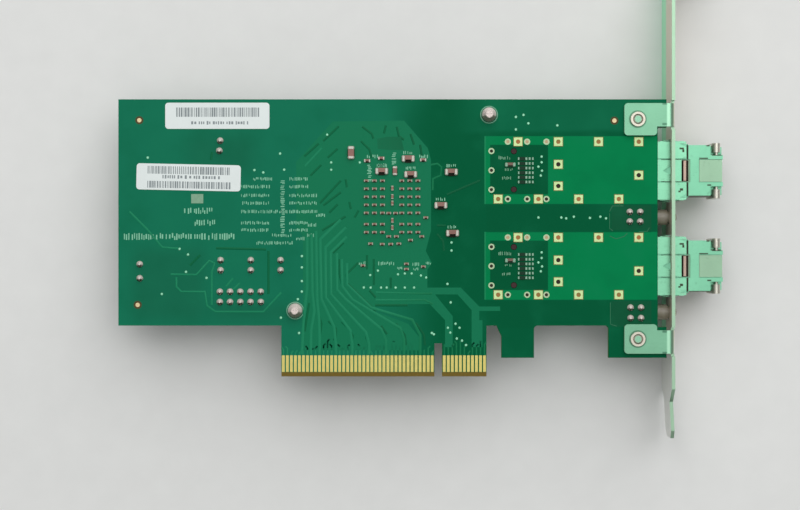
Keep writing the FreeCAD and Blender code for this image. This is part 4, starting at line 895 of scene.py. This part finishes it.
class CARD_OT_copper(bpy.types.Operator):
    """Lay the tracks and fields that show through the mask"""

    bl_idname = "card.copper"
    bl_label = "Tracks"

    def execute(self, context):
        tone = colours()
        wide = sizes().track_width / MM
        tall = sizes().copper_height / MM
        track = masked_copper("masked_track", tone.mask_track, linear(14, 112, 70))
        gap = masked_copper("masked_gap", tone.mask_gap, tone.mask_dark)
        ribbons("tracks_fan", FAN, wide, track, "solder_mask_board", tall)
        ribbons("tracks_loops", LOOPS, wide * 0.7, track, "solder_mask_board", tall * 0.9)
        ribbons("track_gaps", GAPS, wide * 0.8, gap, "solder_mask_board", tall * 0.8)
        self.contact_stubs(track)
        pour = masked_copper("masked_pour", tone.mask_middle, tone.mask_middle)
        bare = masked_copper("masked_bare", linear(12, 108, 72), linear(6, 92, 58))
        self.fields("copper_fields", POURS, pour, tall * 0.4)
        self.fields("bare_fields", HOLLOWS, bare, tall * 0.6)
        return {"FINISHED"}

    def contact_stubs(self, track):
        """Short necks that lead each contact into the board."""
        draw = random.Random(7)
        routes = []
        for low, high in islands("edge_contacts_solder_side"):
            x = (low.x + high.x) / 2
            top = high.y + draw.uniform(*NECK_REACH)
            lean = draw.choice(NECK_LEANS)
            routes.append([(x, high.y - 0.2), (x, top - abs(lean)), (x + lean, top)])
        ribbons("tracks_contact_necks", routes, NECK_WIDTH, track, "solder_mask_board", NECK_TALL)

    def fields(self, name, outlines, material, tall):
        """Broad fields that show through the mask."""
        level = face_levels()[0]
        shape = bmesh.new()
        for outline in outlines:
            corners = [shape.verts.new((x, y, level - SUNK)) for x, y in outline]
            thicken(shape, [shape.faces.new(corners)], tall + SUNK)
        settle(name, shape, "solder_mask_board", material)


class CARD_OT_pads(bpy.types.Operator):
    """Add the bare pads, plated holes and vias"""

    bl_idname = "card.pads"
    bl_label = "Pads and vias"

    def execute(self, context):
        level = face_levels()[0]
        low = level - SUNK
        half = sizes().pad_side / MM / 2
        outer = sizes().ring_diameter / MM / 2
        rims, squares, rounds, flux, solder, hollow, pegs = (bmesh.new() for _ in range(7))
        for port, line in zip(PORTS, port_lines()):
            for x, aside, square in self.cage_places():
                y = line + aside
                inner = abs(aside) < 4.5 and x > 25
                if square:
                    holed_plate(rims, x, y, half + PAD_RIM, PIN_FILL, low, level + RIM_TALL, True)
                    holed_plate(squares, x, y, half, PIN_HOLE, low, level + PAD_TALL, True)
                    # Painted shade: inner holes get a dark disc flush with the board, the others get flux.
                    disc(hollow if inner else flux, x, y, PIN_FILL, level - HOLE_DEPTH, level + 0.01)
                else:
                    holed_plate(rounds, x, y, outer, REAR_HOLE, low, level + PAD_TALL, False)
                    # The rear holes get the same painted-shade disc unless they lie more than 6 mm above the
                    # port's line, where solder fills them.
                    kind = solder if aside > 6 else hollow
                    disc(kind, x, y, REAR_FILL, level - HOLE_DEPTH, level + 0.01)
            for x, y in self.peg_places(port, line):
                disc(pegs, x, y, PEG_RADIUS, level - HOLE_DEPTH, level + 0.004, 14)
        gold = colours().gold
        settle("pad_rims", rims, "solder_mask_board", print_ink("pad_rim", linear(128, 112, 62)))
        settle("pads_square", squares, "gold_contact", gold_plating("pad_gold", gold, 0.25))
        settle("pads_round", rounds, "gold_contact", gold_plating("ring_gold", linear(176, 200, 160), 0.25))
        settle("hole_fills", flux, "nickel_screw", self.flux())
        settle("hole_solder", solder, "nickel_screw", solder_metal("ring_solder", linear(180, 154, 116), 0.3))
        settle("hole_shade_discs", hollow, "nickel_screw", moulding("hole_shade", linear(44, 30, 18), 0.6))
        settle("peg_ends", pegs, "nickel_screw", moulding("peg_end", linear(60, 36, 36), 0.6))
        self.vias(level)
        self.aligning_marks(level)
        self.push_pin_rings(level)
        return {"FINISHED"}

    def vias(self, level):
        """Small tinned vias, each a low cone."""
        shape = bmesh.new()
        radius = sizes().via_diameter / MM / 2
        for x, y in VIAS + tuple((x, line + y) for line in port_lines() for x, y in CAGE_VIAS):
            disc(shape, x, y, radius, level - SUNK, level + 0.05, 10, radius * 0.7)
        settle("vias_open", shape, "nickel_screw", solder_metal("pad_tin", linear(150, 226, 186), 0.2))

    def cage_places(self):
        """Where the cage's pins come through, from the cage's middle line."""
        low, high = span("cage_upper")
        row = (high.y - low.y) / 2 - PIN_INSET
        first = high.x - FIRST_PIN
        places = [(first + PIN_PITCH * i, row, True) for i in range(4)]
        places += [(first - ROW_SHIFT + PIN_PITCH * i, -row, True) for i in range(4)]
        places += [(first + x, y, True) for x, y in INNER_PINS]
        places += [(low.x + PIN_INSET, REAR_PITCH * i, False) for i in (-1, 0, 1)]
        rear = low.x + REAR_SETBACK
        places += [(rear + REAR_PITCH * i, side * row, False) for i in range(3) for side in (-1, 1)]
        return places

    def peg_places(self, port, line):
        """Where the two pegs of a cage's connector come through."""
        front = span("cage_" + port)[1].x
        return [(front - PEG_SETBACK, line + side * PEG_SPREAD / 2) for side in (-1, 1)]

    def flux(self):
        """Dark solder and flux down in the plated holes."""
        finish = Finish("hole_flux", Specular_IOR_Level=0.4)
        cloud = finish.noise(3.2, 2)
        base = finish.mix(finish.step(cloud, 0.47, 0.14), linear(132, 112, 40), linear(168, 104, 50))
        return finish.surface(Base_Color=base, Roughness=0.4 + 0.2 * cloud)

    def aligning_marks(self, level):
        """Round marks with a bare ring that line the board up in its machine."""
        shape = bmesh.new()
        rings = bmesh.new()
        for x, y in ALIGNING_MARKS:
            disc(shape, x, y, 0.55, level - SUNK, level + PAD_TALL, 16)
            holed_plate(rings, x, y, 1.0, 0.56, level - SUNK, level + 0.006, False)
        copper = solder_metal("target_copper", linear(232, 208, 160), 0.25)
        settle("targets", shape, "gold_contact", copper)
        settle("target_rings", rings, "solder_mask_board", print_ink("target_ring", linear(78, 66, 26)))

    def push_pin_rings(self, level):
        """Pale rings round the two push pins, and the sloping barbs of their tips."""
        shape = bmesh.new()
        barbs = bmesh.new()
        for low, high in islands("push_pins"):
            x = (low.x + high.x) / 2
            y = (low.y + high.y) / 2
            holed_plate(shape, x, y, 2.2, 1.98, level - SUNK, level + 0.02, False, 32)
            tip = high.z - 0.15
            waist = level + (tip - level) * 0.5
            disc(barbs, x, y, 1.85, level + 0.02, waist, 24, 1.7)
            disc(barbs, x, y, 1.7, waist, tip, 24, 0.9)
        # The last colour is painted shade on the flank of each barb that faces down the card.
        barb = solder_metal("barb_metal", linear(228, 214, 208), 0.15, linear(120, 122, 108))
        settle("push_pin_barbs", barbs, "nickel_screw", barb)
        settle("push_pin_rings", shape, "solder_mask_board", print_ink("ring_print", linear(120, 178, 150)))


class CARD_OT_joints(bpy.types.Operator):
    """Add the soldered joints of the leads that come through the board"""

    bl_idname = "card.joints"
    bl_label = "Soldered joints"

    def execute(self, context):
        level = face_levels()[0]
        shape = bmesh.new()
        radius = sizes().joint_diameter / MM / 2
        tall = sizes().joint_height / MM
        pins = [((low.x + high.x) / 2, (low.y + high.y) / 2) for low, high in islands("header_pins")]
        for x, y in JOINTS + LAMP_JOINTS + tuple(pins):
            for (wide, low), (narrow, high) in zip(JOINT_PROFILE, JOINT_PROFILE[1:]):
                heights = (level - SUNK + tall * low, level + tall * high)
                disc(shape, x, y, radius * wide, *heights, 16, radius * narrow)
        # The last colour is painted shade on the flank of each joint that faces down the card.
        tin = solder_metal("solder", linear(222, 210, 202), 0.35, linear(52, 66, 46))
        settle("joints", shape, "nickel_screw", tin)
        return {"FINISHED"}


class CARD_OT_legend(bpy.types.Operator):
    """Print the legend: rows of small plain strokes and fields"""

    bl_idname = "card.legend"
    bl_label = "Legend"

    def execute(self, context):
        level = face_levels()[0]
        top = level + sizes().print_height / MM
        draw = random.Random(31)
        shape = bmesh.new()
        for x, y, run in LEGEND_ROWS:
            strokes(shape, x, y, run, 0.85, level, top, draw)
        for low, high in islands("chip_capacitors"):
            if high.x - low.x > high.y - low.y and high.x - low.x > 2:
                strokes(shape, (low.x + high.x) / 2 - 1.1, high.y + 0.75, 2.2, 0.8, level, top, draw)
        for x, y, run, tall in LEGEND_EXTRAS:
            strokes(shape, x, y, run, tall, level, top, draw, bold=1.5 if tall > 1.2 else 1.0)
        for x, low, high in LEGEND_COLUMNS:
            strokes(shape, low, x, high - low, 1.1, level, top, draw, upright=False)
        settle("legend_marks", shape, "label_paper", print_ink("legend_ink", colours().legend))
        field = bmesh.new()
        flat_mark(field, *LEGEND_FIELD, level - INK_SUNK, top)
        settle("legend_field", field, "label_paper", print_ink("field_ink", linear(136, 176, 146)))
        outline = print_ink("outline_ink", linear(52, 118, 86))
        ribbons("legend_outlines", OUTLINES, 0.16, outline, "label_paper", 0.016)
        return {"FINISHED"}


class CARD_OT_chips(bpy.types.Operator):
    """Model the chip capacitors with tinned ends and solder"""

    bl_idname = "card.chips"
    bl_label = "Chip capacitors"

    def execute(self, context):
        level = face_levels()[0]
        large = bmesh.new()
        for low, high in islands("chip_capacitors"):
            self.chip(large, low, high, level)
        finishes = (
            moulding("chip_ceramic", colours().chip, 0.45),
            solder_metal("chip_tin", linear(202, 200, 188), 0.3),
            moulding("chip_painted_shadow", linear(34, 34, 26), 0.7, 0.1),
        )
        settle("chip_capacitors_soldered", large, "chip_ceramic", *finishes, replaced=["chip_capacitors"])
        small = bmesh.new()
        rows = islands("decoupling_chips")
        for low, high in rows:
            self.chip(small, low, high, level)
        size = rows[0][1] - rows[0][0]
        for x, y, along in SMALL_CHIPS:
            half = Vector((size[along], size[1 - along], 0)) / 2
            centre = Vector((x, y, level))
            self.chip(small, centre - half, centre + half + Vector((0, 0, size.z)), level)
        finishes = (
            moulding("small_ceramic", linear(140, 108, 92), 0.5),
            solder_metal("small_tin", linear(166, 172, 154), 0.25),
            moulding("small_painted_shadow", linear(66, 48, 36), 0.7, 0.1),
        )
        settle("decoupling_chips_soldered", small, "chip_ceramic", *finishes, replaced=["decoupling_chips"])
        self.array(level)
        return {"FINISHED"}

    def chip(self, shape, low, high, level):
        """One chip: ceramic body with a painted shadow block under its lower side, and two tinned ends with
        softened edges.
        """
        size = high - low
        along = 0 if size.x >= size.y else 1
        across = 1 - along
        centre = (low + high) / 2
        run = size[along]
        end = run * CHIP_END
        body = [0.0, 0.0, size.z * 0.9]
        body[along] = run - end * 1.2
        body[across] = size[across] * (0.9 if along else 0.64)
        lift = 0 if along else (size[across] - body[across]) / 2
        block(shape, (centre.x, centre.y + lift, level + body[2] / 2), body)
        # Painted shadow: a thin dark block under the body that reaches past its lower side.
        foot = [0.0, 0.0, size.z * 0.3]
        foot[along] = run - end * 2
        foot[across] = size[across] * 1.06
        block(shape, (centre.x, centre.y - size[across] * 0.1, level + foot[2] / 2), foot, 2)
        for side in (-1, 1):
            place = [centre.x, centre.y, level + size.z / 2]
            place[along] += side * (run - end) / 2
            cap = (size[across], end, size.z) if along else (end, size[across], size.z)
            edges = list({edge for vert in block(shape, place, cap, 1) for edge in vert.link_edges})
            soft = min(end, size.z) * 0.25
            bmesh.ops.bevel(
                shape, geom=edges, offset=soft, segments=1, profile=0.5, affect="EDGES", material=-1
            )

    def array(self, level):
        """The small parts that stand in the dark pocket behind each cage, and the print there."""
        shape = bmesh.new()
        marks = bmesh.new()
        draw = random.Random(5)
        top = level + sizes().print_height / MM
        for line in port_lines():
            low = Vector((16.6, line + 0.9, level))
            self.chip(shape, low, low + Vector((2.6, 1.0, 0.6)), level)
            for row in ARRAY_ROWS:
                block(shape, (20.9, line + row, level + 0.1), (1.3, 0.8, 0.2), 2)
                for x, wide in ARRAY_MARKS:
                    block(shape, (x, line + row, level + 0.1), (wide, 0.62, 0.22), 1)
            for x, y, run, tall in ARRAY_PRINT:
                strokes(marks, x, line + y, run, tall, level, top, draw)
        finishes = (
            moulding("array_ceramic", linear(120, 96, 84), 0.5),
            print_ink("array_tin", linear(146, 188, 162)),
            moulding("array_shade", linear(20, 52, 34), 0.7),
        )
        settle("array_parts", shape, "chip_ceramic", *finishes)
        settle("array_marks", marks, "label_paper", print_ink("array_ink", linear(120, 172, 140)))


class CARD_OT_labels(bpy.types.Operator):
    """Finish the paper labels and print plain bars on them"""

    bl_idname = "card.labels"
    bl_label = "Labels"

    def execute(self, context):
        dress(label_paper(), "label_upper", "label_lower")
        ink = print_ink("label_ink", colours().ink)
        self.bars("label_upper", ink, 0.0, ((0.9, 2.3),), (-1.75,), 11)
        self.bars("label_lower", ink, -1.2, ((1.7, 1.9), (-1.9, 1.7)), (0.05,), 23)
        return {"FINISHED"}

    def bars(self, node, ink, turn, rows, marks, seed):
        """Rows of upright bars of uneven width, then rows of small marks of uneven height."""
        centre = middle(node)
        high = span(node)[1].z
        draw = random.Random(seed)
        shape = bmesh.new()
        for y, tall in rows:
            self.row(shape, draw, (y, high), (-10.2, 10.2), BAR_WIDTHS, BAR_GAPS, tall)
        for y in marks:
            self.row(shape, draw, (y, high), (-6.5, 7.5), MARK_WIDTHS, MARK_GAPS)
        swing = Matrix.Translation((centre.x, centre.y, 0)) @ Matrix.Rotation(math.radians(turn), 4, "Z")
        bmesh.ops.transform(shape, matrix=swing, verts=shape.verts)
        settle(node + "_print", shape, "label_paper", ink)

    def row(self, shape, draw, place, ends, widths, gaps, tall=None):
        """One row of bars, of uneven height where none is given."""
        y, high = place
        at, stop = ends
        while at < stop:
            wide = draw.choice(widths)
            reach = tall or draw.uniform(0.55, 0.9)
            flat_mark(shape, at + wide / 2, y, wide, reach, high - 0.004, high + 0.012)
            at += wide + draw.choice(gaps)


class CARD_OT_metalwork(bpy.types.Operator):
    """Finish the bracket, cages, modules and latches"""

    bl_idname = "card.metalwork"
    bl_label = "Metalwork"

    def execute(self, context):
        tone = colours()
        dress(bracket_steel(), "bracket")
        cage = plated_metal("cage_steel", tone.cage, 0.3, 14.0, marks=CAGE_NICK_SHADE)
        dress(cage, *both("cage", "ground_fingers"))
        casting = plated_metal("module_casting", tone.casting, 0.36, 2.0, 0.8, NOSE_SEAM_SHADE)
        dress(casting, *both("module_housing", "module_cover"))
        dress(plated_metal("bail_steel", linear(214, 212, 198), 0.3, 2.0), *both("bail"))
        self.latch_lips()
        dress(plated_metal("slider_steel", tone.slider, 0.34, 18.0), *both("latch_slider"))
        dress(plated_metal("collar_steel", tone.slider, 0.3), *both("module_collar"))
        dress(screw_steel(), "bracket_screws")
        dress(plated_metal("spring_steel", linear(176, 180, 176), 0.25, 1.0), "push_pin_springs")
        dress(plated_metal("pin_metal", linear(226, 214, 206), 0.28, 1.0, 0.35), "push_pins")
        sleeve = plated_metal("sleeve_metal", linear(190, 190, 186), 0.3)
        dress(sleeve, *both("module_transmitter", "module_receiver"))
        gold = gold_plating("terminal_gold", linear(214, 190, 110), 0.8)
        dress(gold, "header_pins", *both("host_contacts"))
        return {"FINISHED"}

    def latch_lips(self):
        """The turned end of each cage's tongue, and a thin dark block of painted shade in the gap that it
        stands in.
        """
        component = face_levels()[1]
        front = span("cage_upper")[1].x
        lips = bmesh.new()
        gaps = bmesh.new()
        for line in port_lines():
            block(lips, (front - 0.35, line, component - 0.4), (0.65, 5.0, 0.5))
            # Painted shade: a thin dark block under the tongue's end.
            block(gaps, (front - 0.25, line, component - 0.88), (1.85, 5.3, 0.1))
        settle("latch_lips", lips, "nickel_screw", plated_metal("lip_steel", linear(172, 150, 136), 0.3, 2.0))
        settle("latch_gaps", gaps, "black_mould", moulding("gap_shade", linear(46, 42, 34), 0.7, 0.1))


class CARD_OT_small_parts(bpy.types.Operator):
    """Finish the moulded, rubber, ceramic and anodised parts"""

    bl_idname = "card.small_parts"
    bl_label = "Small parts"

    def execute(self, context):
        black = moulding("black_mould", linear(26, 27, 29), 0.5)
        dress(black, "header_housing", "flash_memory", "regulators", *both("indicator_housing"))
        dress(black, *both("host_connector", "module_port_insert"))
        dress(moulding("controller_mould", linear(44, 62, 54), 0.5), "controller_chip")
        dress(moulding("black_rubber", linear(30, 28, 28), 0.7, 0.2), "capacitor_bungs")
        dress(moulding("grey_rubber", linear(128, 130, 132), 0.75, 0.2), "thermal_pad")
        dress(moulding("grey_ferrite", linear(62, 62, 64), 0.65, 0.3), "power_inductors")
        dress(plated_metal("crystal_lid", linear(200, 196, 182), 0.3), "crystal")
        dress(moulding("module_laminate", linear(20, 84, 60), 0.45), *both("module_board"))
        dress(anodised(), "heat_sink")
        dress(can_metal(), "capacitor_cans")
        dress(clear_epoxy(), *both("indicator_lamps"))
        return {"FINISHED"}


class CARD_OT_stage(bpy.types.Operator):
    """Build the floor, the light and the camera"""

    bl_idname = "card.stage"
    bl_label = "Studio"

    def execute(self, context):
        settings = context.scene.card_studio
        floor_z = cad_box[0][2] / MM
        shape = bmesh.new()
        place = Matrix.Translation((0, 0, floor_z))
        bmesh.ops.create_grid(shape, x_segments=2, y_segments=2, size=FLOOR_HALF, matrix=place)
        bmesh.ops.scale(shape, vec=(MM, MM, MM), verts=shape.verts)
        mesh = bpy.data.meshes.new("floor")
        shape.to_mesh(mesh)
        shape.free()
        floor = bpy.data.objects.new("floor", mesh)
        mesh.materials.append(pale_floor())
        context.scene.collection.objects.link(floor)
        self.light(context, settings)
        self.camera(context, settings)
        return {"FINISHED"}

    def light(self, context, settings):
        """An even sky, one large lamp high on the far side and one above."""
        world = bpy.data.worlds.new("studio")
        world.use_nodes = True
        background = world.node_tree.nodes["Background"]
        background.inputs["Color"].default_value = (1.0, 1.0, 1.0, 1.0)
        background.inputs["Strength"].default_value = settings.sky
        context.scene.world = world
        self.softbox(context, "side_lamp", settings.lamp, SIDE_LAMP_PLACE, 1.9)
        self.softbox(context, "overhead_lamp", settings.overhead, OVERHEAD_PLACE, 1.1)

    def softbox(self, context, name, power, place, size):
        """One large soft lamp aimed at the card."""
        lamp = bpy.data.lights.new(name, "AREA")
        lamp.shape = "SQUARE"
        lamp.size = size
        lamp.energy = power
        holder = bpy.data.objects.new(name, lamp)
        holder.location = place
        aim = Vector(LAMP_AIM) - holder.location
        holder.rotation_euler = aim.to_track_quat("-Z", "Y").to_euler()
        context.scene.collection.objects.link(holder)

    def camera(self, context, settings):
        """A camera straight over the card."""
        camera = bpy.data.cameras.new("camera")
        camera.lens = settings.focal_length
        camera.clip_start = 0.01
        camera.clip_end = 10
        holder = bpy.data.objects.new("camera", camera)
        level = face_levels()[0] * MM
        holder.location = (settings.camera_x, settings.camera_y, level + settings.camera_height)
        context.scene.collection.objects.link(holder)
        context.scene.camera = holder
        context.scene.view_settings.view_transform = "Standard"


OPERATORS = (
    CARD_OT_board,
    CARD_OT_copper,
    CARD_OT_pads,
    CARD_OT_joints,
    CARD_OT_legend,
    CARD_OT_chips,
    CARD_OT_labels,
    CARD_OT_metalwork,
    CARD_OT_small_parts,
    CARD_OT_stage,
)


class CARD_PT_panel(bpy.types.Panel):
    """The card's own panel in the sidebar"""

    bl_label = "Network card"
    bl_idname = "CARD_PT_panel"
    bl_space_type = "VIEW_3D"
    bl_region_type = "UI"
    bl_category = "Card"

    def draw(self, context):
        for operator in OPERATORS:
            self.layout.operator(operator.bl_idname)
        for group in (context.scene.card_colours, context.scene.card_sizes, context.scene.card_studio):
            column = self.layout.column(align=True)
            for name in group.__annotations__:
                column.prop(group, name)


GROUPS = (CardColours, CardSizes, StudioSettings)


def register():
    for item in GROUPS + OPERATORS + (CARD_PT_panel,):
        bpy.utils.register_class(item)
    bpy.types.Scene.card_colours = bpy.props.PointerProperty(type=CardColours)
    bpy.types.Scene.card_sizes = bpy.props.PointerProperty(type=CardSizes)
    bpy.types.Scene.card_studio = bpy.props.PointerProperty(type=StudioSettings)


def unregister():
    del bpy.types.Scene.card_studio
    del bpy.types.Scene.card_sizes
    del bpy.types.Scene.card_colours
    for item in reversed(GROUPS + OPERATORS + (CARD_PT_panel,)):
        bpy.utils.unregister_class(item)


def main():
    """Registers the add-on and builds everything in order."""
    register()
    bpy.ops.card.board()
    bpy.ops.card.copper()
    bpy.ops.card.pads()
    bpy.ops.card.joints()
    bpy.ops.card.legend()
    bpy.ops.card.chips()
    bpy.ops.card.labels()
    bpy.ops.card.metalwork()
    bpy.ops.card.small_parts()
    bpy.ops.card.stage()


if __name__ == "__main__":
    main()
